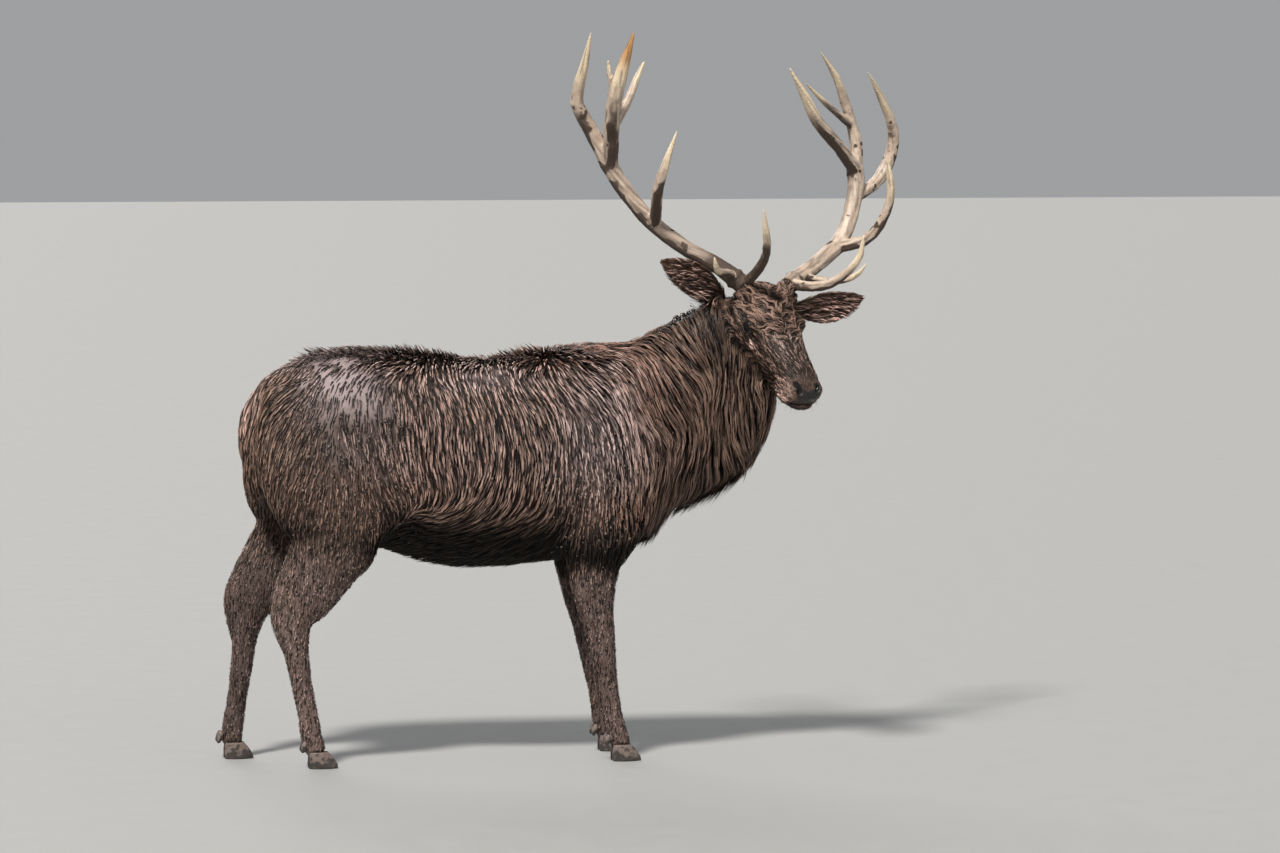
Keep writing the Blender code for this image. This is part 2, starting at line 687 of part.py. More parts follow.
def dewclaw(name, centre, side):
    down = Vector((-0.35, side * 0.15, -1.0)).normalized()
    rows = [
        (*(centre - down * 0.016), 0.008, 0.008, 0.008),
        (*centre, 0.0095, 0.010, 0.010),
        (*(centre + down * 0.014), 0.007, 0.008, 0.008),
        (*(centre + down * 0.020), 0.003, 0.003, 0.003),
    ]
    return loft(name, rows, LEFTWARD, spans=1, count=6, power=2.0)


def foot(leg_name, centre, flesh):
    """Two hooves and two dewclaws, cut clear of the pastern above them."""
    made = []
    for claw, side in (("outer", math.copysign(1, centre.y)), ("inner", -math.copysign(1, centre.y))):
        at = centre + Vector((0.020, side * 0.0195, 0.0))
        made.append(hoof(f"hoof_{leg_name}_{claw}", at, side, turn=side * 0.05))
        spur = centre + Vector((-0.036, side * 0.018, 0.066))
        made.append(dewclaw(f"dewclaw_{leg_name}_{claw}", spur, side))
    clear_of(flesh, [piece for piece in made if piece.name.startswith("hoof")])
    for piece in made:
        if piece.name.startswith("dewclaw"):
            clear_of(piece, [flesh])
    return made


# ---- assembly -----------------------------------------------------------------------------------
def build_flesh():
    """The melted body and head, parted into named lengths."""
    feet = {
        "fore_right": Vector((FORE_FOOT.x, -FORE_FOOT.y, 0.0)),
        "fore_left": FORE_FOOT.copy(),
        "hind_right": HIND_FOOT_NEAR,
        "hind_left": HIND_FOOT_FAR,
    }
    lofts = trunk_shells() + neck_shells() + tail_shells()
    for side in (-1, 1):
        lofts += shoulder_shells(side) + fore_leg(side)
    lofts += hind_leg(HIND_FOOT_NEAR, -0.578, -0.437) + hind_leg(HIND_FOOT_FAR, -0.688, -0.520)
    skull = head_shells()
    body = join("body", lofts + skull)
    fine = join("fine", skull + [o for o in lofts if o.name.startswith(("neck", "mane"))])
    remove(*lofts, *skull)
    melt(body, BODY_VOXEL, 8, BODY_TRIANGLES)
    melt(fine, HEAD_VOXEL, 5, HEAD_TRIANGLES)

    ahead = half_space("ahead", NAPE, NAPE_NORMAL)
    boolean(fine, ahead, "INTERSECT")
    remove(ahead)
    beyond = half_space("beyond", NAPE - NAPE_NORMAL.normalized() * GAP, NAPE_NORMAL)
    boolean(body, beyond, "DIFFERENCE")
    remove(beyond)
    largest_shell(fine)
    largest_shell(body)
    flesh = {"head": fine}

    def leg_block(centre_x, reach, side, top, bottom=-0.1, slope_x=0.0, slope_y=0.0):
        def make(grow):
            reached = reach + grow
            near, far = 0.004 - grow, 0.40
            low_y, high_y = (-far, -near) if side < 0 else (near, far)
            return block("leg_cut", (centre_x - reached, low_y), (centre_x + reached, high_y),
                         (top + grow, slope_x, -side * slope_y), (bottom, 0.0, 0.0))
        return make

    for name in ("fore_right", "fore_left"):
        side = math.copysign(1, feet[name].y)
        leg = split_off(body, name, leg_block(0.335, 0.120, side, 0.600, slope_y=-0.55))
        lower = split_off(leg, f"cannon_{name}", leg_block(0.34, 0.20, side, 0.325))
        flesh[f"forearm_{name}"] = leg
        flesh[f"cannon_{name}"] = lower
    for name in ("hind_right", "hind_left"):
        side = math.copysign(1, feet[name].y)
        leg = split_off(body, name, leg_block(-0.56, 0.30, side, 0.735, slope_x=-0.45, slope_y=-0.45))
        lower = split_off(leg, f"shank_{name}", leg_block(-0.56, 0.30, side, 0.600, slope_x=-0.2))
        lowest = split_off(lower, f"cannon_{name}", leg_block(-0.56, 0.30, side, 0.400))
        flesh[f"thigh_{name}"] = leg
        flesh[f"shank_{name}"] = lower
        flesh[f"cannon_{name}"] = lowest

    def neck_cut(grow):
        normal = Vector((1.0, 0.0, 0.30)).normalized()
        return half_space("neck_cut", NECK_ROOT - normal * grow, normal)

    def tail_cut(grow):
        normal = Vector((-0.80, 0.0, 0.35)).normalized()
        start = TAIL_ROOT - normal * grow
        return half_space("tail_cut", start, normal, reach=0.07 + grow)

    flesh["neck"] = split_off(body, "neck", neck_cut)
    flesh["tail"] = split_off(body, "tail", tail_cut)
    flesh["trunk"] = body
    return flesh, feet


def build_eyes(head):
    f, s, d = head_axes()
    made = []
    for name, side in (("eye_right", -1), ("eye_left", 1)):
        centre = in_head(-EYE_BACK, side * EYE_SPREAD, EYE_RAISE)
        made.append(ball(name, centre, (EYE_RADIUS,) * 3, (f, s, d), segments=12, rings=8))
        socket = ball("socket", centre, (EYE_RADIUS + GAP,) * 3, (f, s, d), segments=12, rings=8)
        boolean(head, socket, "DIFFERENCE")
        remove(socket)
    return made


def build_ears(head, neck):
    """The right ear is raised, the left one held level; both open to the front."""
    heading = Vector((math.cos(HEAD_TURN), math.sin(HEAD_TURN), 0.0))
    made = []
    for name, root, tip in (
        ("ear_right", over_head(-0.112, -0.108, 0.072), over_head(-0.075, -0.343, 0.218)),
        ("ear_left", over_head(-0.112, 0.100, 0.055), over_head(-0.020, 0.300, 0.098)),
    ):
        piece = ear(name, root, tip, heading - UP * 0.25)
        clear_of(piece, [head, neck])
        made.append(piece)
    return made


def build():
    clear_scene()
    flesh, feet = build_flesh()
    nodes = []
    for name, centre in feet.items():
        for piece in foot(name, centre, flesh[f"cannon_{name}"]):
            nodes.append(finish(piece, piece.name, "horn"))
    for piece in build_eyes(flesh["head"]):
        nodes.append(finish(piece, piece.name, "eye"))
    for side_name in ("right", "left"):
        for piece in antler(side_name, flesh["head"]):
            nodes.append(finish(piece, piece.name, "antler"))
    for piece in build_ears(flesh["head"], flesh["neck"]):
        nodes.append(finish(piece, piece.name, "coat"))
    for name, piece in flesh.items():
        nodes.append(finish(piece, name, "coat"))

    points = [v.co for node in nodes for v in node.data.vertices]
    middle = Vector((
        (min(p.x for p in points) + max(p.x for p in points)) / 2,
        (min(p.y for p in points) + max(p.y for p in points)) / 2,
        min(p.z for p in points),
    ))
    stag = bpy.data.objects.new("stag", None)
    bpy.context.scene.collection.objects.link(stag)
    stag.location = -middle
    for node in nodes:
        node.parent = stag


build()
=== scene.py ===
"""Dresses the red deer stag: one skin under a clumped coat, antlers, hooves, eyes, floor and light.

Lengths are metres. Body places are the frame's own less HOME: ahead, left, high. Head places are
forward, left and dorsal from the brow.
"""
import math

import bmesh
import bpy
import numpy as np
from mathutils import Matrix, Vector, kdtree
from mathutils.bvhtree import BVHTree


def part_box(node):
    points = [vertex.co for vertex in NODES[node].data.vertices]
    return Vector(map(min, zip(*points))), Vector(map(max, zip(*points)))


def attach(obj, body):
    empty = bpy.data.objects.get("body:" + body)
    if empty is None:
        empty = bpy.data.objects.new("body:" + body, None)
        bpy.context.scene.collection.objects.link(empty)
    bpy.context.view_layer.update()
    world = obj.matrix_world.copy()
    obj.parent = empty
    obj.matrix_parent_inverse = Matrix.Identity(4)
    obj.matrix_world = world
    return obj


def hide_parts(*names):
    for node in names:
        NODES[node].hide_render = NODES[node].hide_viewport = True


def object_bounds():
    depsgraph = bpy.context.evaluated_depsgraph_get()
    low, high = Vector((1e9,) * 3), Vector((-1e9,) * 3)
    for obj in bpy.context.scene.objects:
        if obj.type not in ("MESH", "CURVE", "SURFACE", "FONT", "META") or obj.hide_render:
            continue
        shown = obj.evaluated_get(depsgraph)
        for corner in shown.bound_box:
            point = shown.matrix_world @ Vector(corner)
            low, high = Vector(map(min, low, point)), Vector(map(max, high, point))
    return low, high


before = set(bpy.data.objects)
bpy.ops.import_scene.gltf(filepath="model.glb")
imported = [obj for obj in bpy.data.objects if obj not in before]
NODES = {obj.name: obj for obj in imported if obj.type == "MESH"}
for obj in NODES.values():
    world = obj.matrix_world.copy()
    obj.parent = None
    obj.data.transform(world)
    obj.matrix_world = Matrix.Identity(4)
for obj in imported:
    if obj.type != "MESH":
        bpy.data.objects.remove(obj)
CAD_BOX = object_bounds()
FLESH = ("trunk", "neck", "head", "tail", "ear_", "forearm_", "cannon_", "thigh_", "shank_")
RNG = np.random.default_rng(41)
UP = Vector((0.0, 0.0, 1.0))
MIRROR = (-1.0, 1.0)
SKIN_VOXEL, ANTLER_VOXEL, CLAW_VOXEL = 0.0046, 0.0031, 0.0021
# A lock's patch of the UV map, the triangles of a coat piece and the neighbours kept for a vertex.
PATCH, MOST_TRIANGLES, MOST_NEAR = 0.003, 190000, 10


# ---- places, all from the frame ----
def middle(node):
    low, high = map(Vector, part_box(node))
    return (low + high) / 2


EYES = {"right": middle("eye_right"), "left": middle("eye_left")}
LEFT = (EYES["left"] - EYES["right"]).normalized()
HEADING = LEFT.cross(UP).normalized()
PITCH = math.radians(38)
FORWARD = HEADING * math.cos(PITCH) - UP * math.sin(PITCH)
DORSAL = FORWARD.cross(LEFT).normalized()
BROW = (EYES["left"] + EYES["right"]) / 2 + FORWARD * 0.008 - DORSAL * 0.012
HOME = BROW - Vector((0.862, -0.190, 1.280))
GROUND = CAD_BOX[0][2]
HEAD_AXES = np.array([FORWARD, LEFT, DORSAL])
FORTH, ASIDE, UPPER = HEAD_AXES


def corners(node):
    """A node's lowest and highest corner."""
    return np.array(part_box(node))


def in_head(points):
    """Points as (forward, left, dorsal) from the brow."""
    return (points - np.array(BROW)) @ HEAD_AXES.T


def step(value, low, high):
    """0 below low, 1 above high, and smooth between them."""
    t = np.clip((value - low) / (high - low), 0.0, 1.0)
    return t * t * (3.0 - 2.0 * t)


def unit(v):
    """The same directions, 1 long."""
    return v / np.maximum(np.linalg.norm(v, axis=-1, keepdims=True), 1e-9)


def square_to(v, n):
    """v without its part along n."""
    return v - n * (v * n).sum(axis=-1, keepdims=True)


def turns(count):
    """Angles spaced evenly round a circle."""
    return np.linspace(0, 2 * np.pi, count + 1)[:-1]


def crossed(v, f):
    """Each triangle's normal, as long as twice its area."""
    return np.cross(v[f[:, 1]] - v[f[:, 0]], v[f[:, 2]] - v[f[:, 0]])


def copies(tris, count, per):
    """Triangles of count like pieces, each of per vertices."""
    return (tris[None] + (np.arange(count) * per)[:, None, None]).reshape(-1, 3)


def search_tree(points):
    tree = kdtree.KDTree(len(points))
    for i, p in enumerate(points):
        tree.insert(p, i)
    tree.balance()
    return tree


# ---- smooth value noise ----
def lattice(i, j, k, seed):
    """A number from 0 to 1 for each whole-numbered place."""
    h = (i * 73856093) ^ (j * 19349663) ^ (k * 83492791) ^ (seed * 2654435761)
    h = (h ^ (h >> 13)) * 1274126177
    return ((h ^ (h >> 16)) & 0xFFFF) / 65535.0


def noise(points, scale, seed=0):
    """Value noise in -1..1; scale is the size of a lump in metres."""
    p = points / scale + 137.0
    cell = np.floor(p).astype(np.int64)
    f = p - cell
    f = f * f * (3.0 - 2.0 * f)
    total = 0.0
    for di in (0, 1):
        for dj in (0, 1):
            for dk in (0, 1):
                w = (f[:, 0] if di else 1 - f[:, 0]) * (f[:, 1] if dj else 1 - f[:, 1]) \
                    * (f[:, 2] if dk else 1 - f[:, 2])
                total = total + w * lattice(cell[:, 0] + di, cell[:, 1] + dj, cell[:, 2] + dk, seed)
    return total * 2.0 - 1.0


# ---- meshes ----
def arrays(mesh):
    """Vertices and triangles of a mesh as numpy arrays."""
    verts = np.empty(len(mesh.vertices) * 3)
    mesh.vertices.foreach_get("co", verts)
    mesh.calc_loop_triangles()
    tris = np.empty(len(mesh.loop_triangles) * 3, dtype=np.int32)
    mesh.loop_triangles.foreach_get("vertices", tris)
    return verts.reshape(-1, 3), tris.reshape(-1, 3)


def linked(name, data):
    """A new object in the scene."""
    obj = bpy.data.objects.new(name, data)
    bpy.context.scene.collection.objects.link(obj)
    return obj


def built(name, bm):
    """A bmesh as an object."""
    mesh = bpy.data.meshes.new(name)
    bm.to_mesh(mesh)
    bm.free()
    return linked(name, mesh)


def taken(obj):
    """An object's vertices and triangles; the object itself goes."""
    mesh = obj.data
    out = arrays(mesh)
    bpy.data.objects.remove(obj)
    bpy.data.meshes.remove(mesh)
    return out


def ball(subdivisions):
    """The vertices and triangles of a ball of radius 1."""
    bm = bmesh.new()
    bmesh.ops.create_icosphere(bm, subdivisions=subdivisions, radius=1.0)
    return taken(built("ball", bm))


def new_mesh(name, verts, faces):
    """A mesh object from vertices and triangles, shaded smooth."""
    mesh = bpy.data.meshes.new(name)
    mesh.vertices.add(len(verts))
    mesh.vertices.foreach_set("co", np.ascontiguousarray(verts, dtype=np.float32).ravel())
    mesh.loops.add(faces.size)
    mesh.loops.foreach_set("vertex_index", np.ascontiguousarray(faces, dtype=np.int32).ravel())
    mesh.polygons.add(len(faces))
    mesh.polygons.foreach_set("loop_start", np.arange(0, faces.size, 3, dtype=np.int32))
    mesh.polygons.foreach_set("use_smooth", np.ones(len(faces), dtype=bool))
    mesh.update(calc_edges=True)
    return linked(name, mesh)


def grown_copy(nodes, amount):
    """All the nodes as one set of vertices and triangles, each stood out a little along its normals."""
    verts, faces, owner, count = [], [], [], 0
    for index, name in enumerate(nodes):
        v, f = arrays(NODES[name].data)
        flat = unit(crossed(v, f))
        _, first, same = np.unique(np.round(v, 5), axis=0, return_index=True, return_inverse=True)
        same = same.ravel()
        push = np.zeros((len(first), 3))
        for corner in range(3):
            np.add.at(push, same[f[:, corner]], flat)
        verts.append(v[first] + unit(push) * amount)
        faces.append(same[f] + count)
        owner.append(np.full(len(f), index))
        count += len(first)
    return np.concatenate(verts), np.concatenate(faces), np.concatenate(owner)


def apply_modifiers(obj):
    """The modifiers' result becomes the mesh."""
    graph = bpy.context.evaluated_depsgraph_get()
    mesh = bpy.data.meshes.new_from_object(obj.evaluated_get(graph))
    obj.modifiers.clear()
    old = obj.data
    obj.data = mesh
    bpy.data.meshes.remove(old)


def remeshed(name, nodes, voxel, grow, ratio=None, keep=None):
    """The nodes melted into one closed surface; ratio thins its triangles where keep(points) is false."""
    verts, faces, _ = grown_copy(nodes, grow)
    obj = new_mesh(name, verts, faces)
    melt = obj.modifiers.new("melt", "REMESH")
    melt.mode = "VOXEL"
    melt.voxel_size = voxel
    apply_modifiers(obj)
    if ratio:
        bm = bmesh.new()
        bm.from_mesh(obj.data)
        bmesh.ops.triangulate(bm, faces=bm.faces)
        bm.to_mesh(obj.data)
        bm.free()
        v, _ = arrays(obj.data)
        group = obj.vertex_groups.new(name="thin")
        thin = np.nonzero(~keep(v))[0]
        group.add([int(i) for i in thin], 1.0, "REPLACE")
        cut = obj.modifiers.new("cut", "DECIMATE")
        cut.ratio = ratio
        cut.vertex_group = "thin"
        cut.vertex_group_factor = 10.0
        apply_modifiers(obj)
        obj.vertex_groups.clear()
    return obj


class Surface:
    """A triangle mesh in numpy with neighbours, normals and smoothing."""

    def __init__(self, verts, faces):
        self.v, self.f = verts, faces
        pairs = np.concatenate([faces[:, (0, 1)], faces[:, (1, 2)], faces[:, (2, 0)]])
        pairs = np.unique(np.sort(pairs, axis=1), axis=0)
        both = np.concatenate([pairs, pairs[:, ::-1]])
        both = both[np.argsort(both[:, 0], kind="stable")]
        start = np.searchsorted(both[:, 0], np.arange(len(verts)))
        place = np.arange(len(both)) - start[both[:, 0]]
        self.near = np.repeat(np.arange(len(verts))[:, None], MOST_NEAR, axis=1)
        fits = place < MOST_NEAR
        self.near[both[fits, 0], place[fits]] = both[fits, 1]
        self.own = self.near == np.arange(len(verts))[:, None]
        self.share = 1.0 / np.maximum((~self.own).sum(axis=1), 1)

    def mean(self, field):
        """Each vertex's neighbours' mean of a field."""
        flat = field.reshape(len(field), -1)
        total = flat[self.near].sum(axis=1) - flat * self.own.sum(axis=1)[:, None]
        out = total * self.share[:, None]
        return out.reshape(field.shape)

    def blur(self, field, times):
        """A field of the vertices, smoothed."""
        for _ in range(times):
            field = field + (self.mean(field) - field) * 0.6
        return field

    def relax(self, times, weight=None, rates=(0.5,)):
        """Each vertex moves towards its neighbours' mean, by weight where one is given."""
        for rate in rates * times:
            move = (self.mean(self.v) - self.v) * rate
            self.v = self.v + (move if weight is None else move * weight[:, None])

    def smooth(self, times, weight=None):
        """Smoothing that doesn't shrink the surface."""
        self.relax(times, weight, (0.55, -0.50))

    def normals(self):
        """Each vertex's normal, from the faces about it."""
        flat = crossed(self.v, self.f)
        out = np.zeros_like(self.v)
        for corner in range(3):
            for axis in range(3):
                out[:, axis] += np.bincount(self.f[:, corner], flat[:, axis], len(self.v))
        return unit(out)


def split_faces(verts, faces, chosen):
    """Chosen triangles cut in four, and their neighbours joined up to suit."""
    obj = new_mesh("fine", verts, faces)
    bm = bmesh.new()
    bm.from_mesh(obj.data)
    bm.faces.ensure_lookup_table()
    edges = {e for i in chosen for e in bm.faces[int(i)].edges}
    bmesh.ops.subdivide_edges(bm, edges=list(edges), cuts=1, use_grid_fill=True)
    bmesh.ops.triangulate(bm, faces=bm.faces)
    bm.to_mesh(obj.data)
    bm.free()
    return taken(obj)


def nearest_names(points, names):
    """For each point the index of the nearest node in names."""
    verts, faces, owner = grown_copy(names, 0.0)
    tree = BVHTree.FromPolygons([tuple(p) for p in verts], [tuple(int(i) for i in t) for t in faces])
    return np.array([owner[tree.find_nearest(Vector(p))[2]] for p in points])


# ---- the skin ----
flesh = [name for name in NODES if name.startswith(FLESH)]


def by_head(points):
    """Points on the head or an ear."""
    h = in_head(points)
    ear = np.zeros(len(points), dtype=bool)
    for side in ("ear_left", "ear_right"):
        low, high = corners(side)
        ear |= np.all((points > low - 0.01) & (points < high + 0.01), axis=1)
    return ear | ((h[:, 0] > -0.10) & (np.abs(h[:, 1]) < 0.12) & (h[:, 2] > -0.16))


melted = remeshed("melted", flesh + ["eye_left", "eye_right"], SKIN_VOXEL, 0.0006, 0.24, by_head)
skin_surface = Surface(*taken(melted))
label = nearest_names(skin_surface.v, flesh)


def part(*starts):
    """Which vertices lie nearest to nodes whose names start so."""
    return np.isin(label, [i for i, name in enumerate(flesh) if name.startswith(starts)])


# The melted surface still shows the solids' facets, so it is smoothed, head and ears without shrinking.
skin_surface.relax(8, skin_surface.blur(np.where(part("ear_", "head"), 0.0, 1.0), 4))
skin_surface.smooth(16, skin_surface.blur(np.where(part("ear_"), 0.35, 1.0), 3))


def near_features(points, eye, nose):
    """Points close to an eye, or on the muzzle ahead of nose."""
    h = in_head(points)
    hit = (h[:, 0] > nose) & (np.abs(h[:, 1]) < 0.08) & (h[:, 2] < 0.03)
    for centre in EYES.values():
        hit |= np.linalg.norm(points - np.array(centre), axis=1) < eye
    return hit


for reach, muzzle in ((0.046, 0.150), (0.031, 0.200)):
    middles = skin_surface.v[skin_surface.f].mean(axis=1)
    coarse = np.nonzero(near_features(middles, reach, muzzle))[0]
    skin_surface = Surface(*split_faces(skin_surface.v, skin_surface.f, coarse))
    close_by = near_features(skin_surface.v, reach + 0.01, muzzle - 0.02)
    skin_surface.smooth(4, skin_surface.blur(close_by.astype(float), 2))
label = nearest_names(skin_surface.v, flesh)

# ---- how the coat lies ----
# Along the body: ahead, high, run ahead, run up, length in mm, depth in mm.
GUIDES = np.array([
    (-0.72, 1.02, -0.2, -1.0, 42, 9), (-0.66, 1.09, -0.7, -0.7, 40, 8), (-0.60, 1.16, -0.9, -0.4, 30, 9),
    (-0.50, 1.21, -1.0, -0.1, 26, 10), (-0.28, 1.21, -1.0, -0.2, 26, 12),
    (-0.05, 1.20, -1.0, -0.2, 26, 12), (0.12, 1.21, -0.9, -0.3, 30, 13), (0.25, 1.25, 0.6, -0.6, 34, 15),
    (-0.62, 1.12, -0.75, -0.65, 38, 8), (-0.52, 1.17, -0.7, -0.7, 20, 6),
    (-0.49, 1.09, -0.2, -1.0, 26, 7), (-0.58, 1.03, -0.4, -0.9, 30, 7), (-0.69, 0.98, -0.15, -1.0, 26, 6),
    (-0.38, 1.03, 0.05, -1.0, 34, 9), (-0.30, 0.98, 0.10, -1.0, 38, 11), (-0.43, 0.90, 0.0, -1.0, 20, 6),
    (-0.56, 0.88, -0.3, -0.95, 20, 6), (-0.32, 0.88, 0.25, -0.95, 28, 8),
    (-0.27, 0.81, 0.35, -0.9, 24, 8), (-0.42, 0.76, -0.1, -1.0, 16, 5), (-0.06, 1.16, 0.2, -1.0, 30, 10),
    (-0.09, 1.12, 0.35, -0.94, 36, 11), (0.15, 1.12, 0.5, -0.87, 40, 12),
    (0.05, 1.15, 0.35, -0.9, 30, 10), (0.30, 1.13, 0.8, -0.6, 46, 14), (-0.23, 1.10, 0.1, -1.0, 38, 11),
    (-0.04, 0.98, 0.2, -0.98, 42, 12), (-0.21, 0.98, 0.03, -1.0, 40, 12),
    (0.15, 0.98, 0.25, -0.97, 42, 12), (0.23, 0.98, 0.0, -1.0, 36, 10), (-0.14, 0.86, 0.3, -0.95, 42, 12),
    (-0.06, 0.86, -0.1, -1.0, 42, 12), (0.03, 0.83, -0.25, -0.97, 42, 12),
    (0.01, 0.76, -0.6, -0.8, 46, 12), (-0.09, 0.74, -0.85, -0.5, 48, 12),
    (-0.18, 0.715, -0.95, 0.2, 40, 10), (-0.04, 0.69, -1.0, -0.05, 48, 11),
    (0.11, 0.715, -0.9, -0.4, 44, 11), (0.15, 0.81, -0.15, -1.0, 38, 10), (0.275, 0.86, 0.0, -1.0, 20, 7),
    (0.32, 1.05, 0.5, -0.85, 30, 9), (0.34, 0.95, 0.25, -0.95, 22, 8), (0.32, 0.76, -0.1, -1.0, 18, 6),
    (0.42, 0.72, 0.0, -1.0, 30, 14), (0.43, 1.26, 0.85, -0.5, 60, 24), (0.57, 1.25, 0.75, -0.65, 74, 28),
    (0.67, 1.26, 0.3, -0.95, 70, 26), (0.72, 1.24, -0.1, -1.0, 66, 24), (0.46, 1.16, 0.3, -0.95, 70, 26),
    (0.585, 1.16, 0.65, -0.76, 84, 32), (0.64, 1.105, 0.6, -0.8, 88, 34),
    (0.68, 1.105, -0.45, -0.9, 86, 34), (0.74, 1.09, 0.1, -1.0, 92, 34),
    (0.43, 1.07, 0.35, -0.93, 60, 20), (0.53, 1.02, 0.45, -0.9, 84, 30), (0.655, 1.0, 0.05, -1.0, 96, 38),
    (0.76, 0.985, 0.15, -1.0, 100, 38), (0.46, 0.92, 0.1, -1.0, 60, 20),
    (0.585, 0.90, -0.35, -0.94, 90, 34), (0.67, 0.90, 0.05, -1.0, 100, 38),
    (0.76, 0.90, 0.4, -0.92, 100, 38), (0.53, 0.83, -0.3, -0.95, 74, 28),
])

skin_surface.smooth(2)
P = skin_surface.v
HERE = P - np.array(HOME)
AHEAD, HIGH = HERE[:, 0], HERE[:, 2]
HEAD = in_head(P)
NORMAL = unit(skin_surface.blur(skin_surface.normals(), 3))
fwd, lat, dor = HEAD.T
side = np.where(lat < 0, -1.0, 1.0)

weight = 1.0 / ((HERE[:, 0, None] - GUIDES[:, 0]) ** 2 + (HERE[:, 2, None] - GUIDES[:, 1]) ** 2 + 0.0008) ** 2
weight /= weight.sum(axis=1, keepdims=True)
guided = weight @ GUIDES[:, 2:]
parting = np.clip(HERE[:, 1] / 0.03, -1, 1) * step(HIGH, 1.10, 1.20) * step(0.40 - AHEAD, 0.0, 0.15)
lie = np.stack([guided[:, 0], 0.75 * parting, guided[:, 1]], axis=1)
long, deep = guided[:, 2] / 1000, guided[:, 3] / 1000


def spots(*rows):
    """Soft round patches on the body's sides: (strength, ahead, high, reach ahead, reach up) for each."""
    return sum(strength * np.exp(-((AHEAD - x) / across) ** 2 - ((HIGH - z) / upright) ** 2)
               for strength, x, z, across, upright in rows)


def blend(base, other, share):
    """base changed towards other by each vertex's share."""
    share = share if base.ndim == 1 else share[:, None]
    return base + (other - base) * share


def laid(share, *targets):
    """The coat's lie, length and depth changed towards targets."""
    return [blend(base, target, share) for base, target in zip((lie, long, deep), targets)]


# Legs: short hair down the bone.
is_leg = part("forearm", "cannon", "thigh", "shank")
leg = skin_surface.blur(is_leg * (1.0 - step(HIGH, 0.56, 0.74)), 8)
lie, long, deep = laid(leg, np.array([-0.12, 0.0, -1.0]), 0.0125, 0.0032)
# The tail's hair runs down it.
tail = skin_surface.blur(part("tail").astype(float), 3)
lie, long, deep = laid(tail, np.array([-0.15, 0.0, -1.0]), 0.048, 0.008)
# The head's hair runs back from the nose, in curls over the forehead.
is_head = part("head")
head = skin_surface.blur(is_head.astype(float), 6)
fore = step(0.13 - np.abs(fwd + 0.03), 0.0, 0.06) * step(dor, 0.01, 0.05)
back = np.outer(side * (0.30 * step(dor, -0.02, 0.05) + 0.9 * fore), ASIDE) - FORTH
back -= np.outer(0.45 * step(-dor, 0.02, 0.10), UPPER)
throat = step(-fwd, 0.02, 0.13) * step(-dor, 0.03, 0.10)
back = blend(back, np.array([0.0, 0.0, -1.0]), throat)
lie, long, deep = laid(head, back,
                       0.0095 + 0.021 * fore + 0.030 * throat - 0.0045 * step(fwd, 0.12, 0.24),
                       0.0030 + 0.0050 * fore + 0.010 * throat - 0.0016 * step(fwd, 0.10, 0.22))
# Ears: hair runs to the tip, longer and paler in the cup.
ear = np.zeros(len(P))
cup = np.zeros(len(P))
for name in ("ear_left", "ear_right"):
    mine = part(name)
    reach = np.linalg.norm(P - np.array(BROW), axis=1) * mine
    tip = P[np.argmax(reach)]
    close = mine & (reach < np.min(reach[mine]) + 0.03)
    root = P[close].mean(axis=0)
    run = unit(tip - root)
    radial = (P - root) - np.outer((P - root) @ run, run)
    cup = np.where(mine & ((NORMAL * radial).sum(axis=1) < 0), 1.0, cup)
    share = skin_surface.blur(mine.astype(float), 3)
    lie = blend(lie, run, share)
    ear = np.maximum(ear, share)
cup = skin_surface.blur(cup, 2)
long = blend(long, 0.013, ear)
deep = blend(deep, 0.0012, ear)

lie = skin_surface.blur(lie, 6)
# Small swirls, strongest in the forehead's curls.
tangent = unit(square_to(lie, NORMAL))
across = np.cross(NORMAL, tangent)
swirl = 0.16 * noise(P, 0.05, 3) + 0.10 * noise(P, 0.018, 5)
swirl += (head * (1 - throat)) * (0.35 + 1.15 * fore) * (noise(P, 0.016, 7) + 0.35 * noise(P, 0.009, 9))
LIE = unit(tangent * np.cos(swirl)[:, None] + across * np.sin(swirl)[:, None])
deep = skin_surface.blur(deep, 14)
LONG = skin_surface.blur(long, 4)
body = 1 - np.clip(head + ear + leg, 0, 1)
# Mud has caked the coat into plates on rump, thigh, back and shoulder.
plate_edge = 0.55 + 0.9 * noise(P, 0.030, 11) + 0.4 * noise(P, 0.011, 13)
cake = spots((1.80, -0.42, 1.11, 0.12, 0.12), (0.50, -0.40, 0.90, 0.15, 0.16),
             (0.55, 0.00, 1.165, 0.16, 0.03), (0.42, 0.30, 1.08, 0.10, 0.12))
PLATE = np.clip(skin_surface.blur(step(cake * plate_edge, 0.28, 0.62) * body, 2), 0, 1)
deep = deep * (1 - 0.60 * PLATE)

# ---- the skin's own shape ----
tops = [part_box(n)[1][2] for n in NODES if n.startswith("hoof_")]
coronet = 1.0 - step(HIGH - (max(tops) - GROUND), -0.002, 0.02)
deep = deep * (1 - coronet) + 0.0004 * coronet
for s in MIRROR:
    antler_foot = BROW + FORWARD * -0.075 + LEFT * s * 0.074 + DORSAL * 0.10
    deep *= 0.25 + 0.75 * step(np.linalg.norm(P - np.array(antler_foot), axis=1), 0.02, 0.07)
P = P - skin_surface.blur(skin_surface.normals(), 2) * deep[:, None]
skin_surface.v = P
held = skin_surface.blur(near_features(P, 0.05, 0.16).astype(float), 2)
skin_surface.relax(2, 1.0 - np.maximum(held, ear))
P = skin_surface.v
HEAD = in_head(P)
fwd, lat, dor = HEAD.T
NORMAL = unit(skin_surface.blur(skin_surface.normals(), 1))


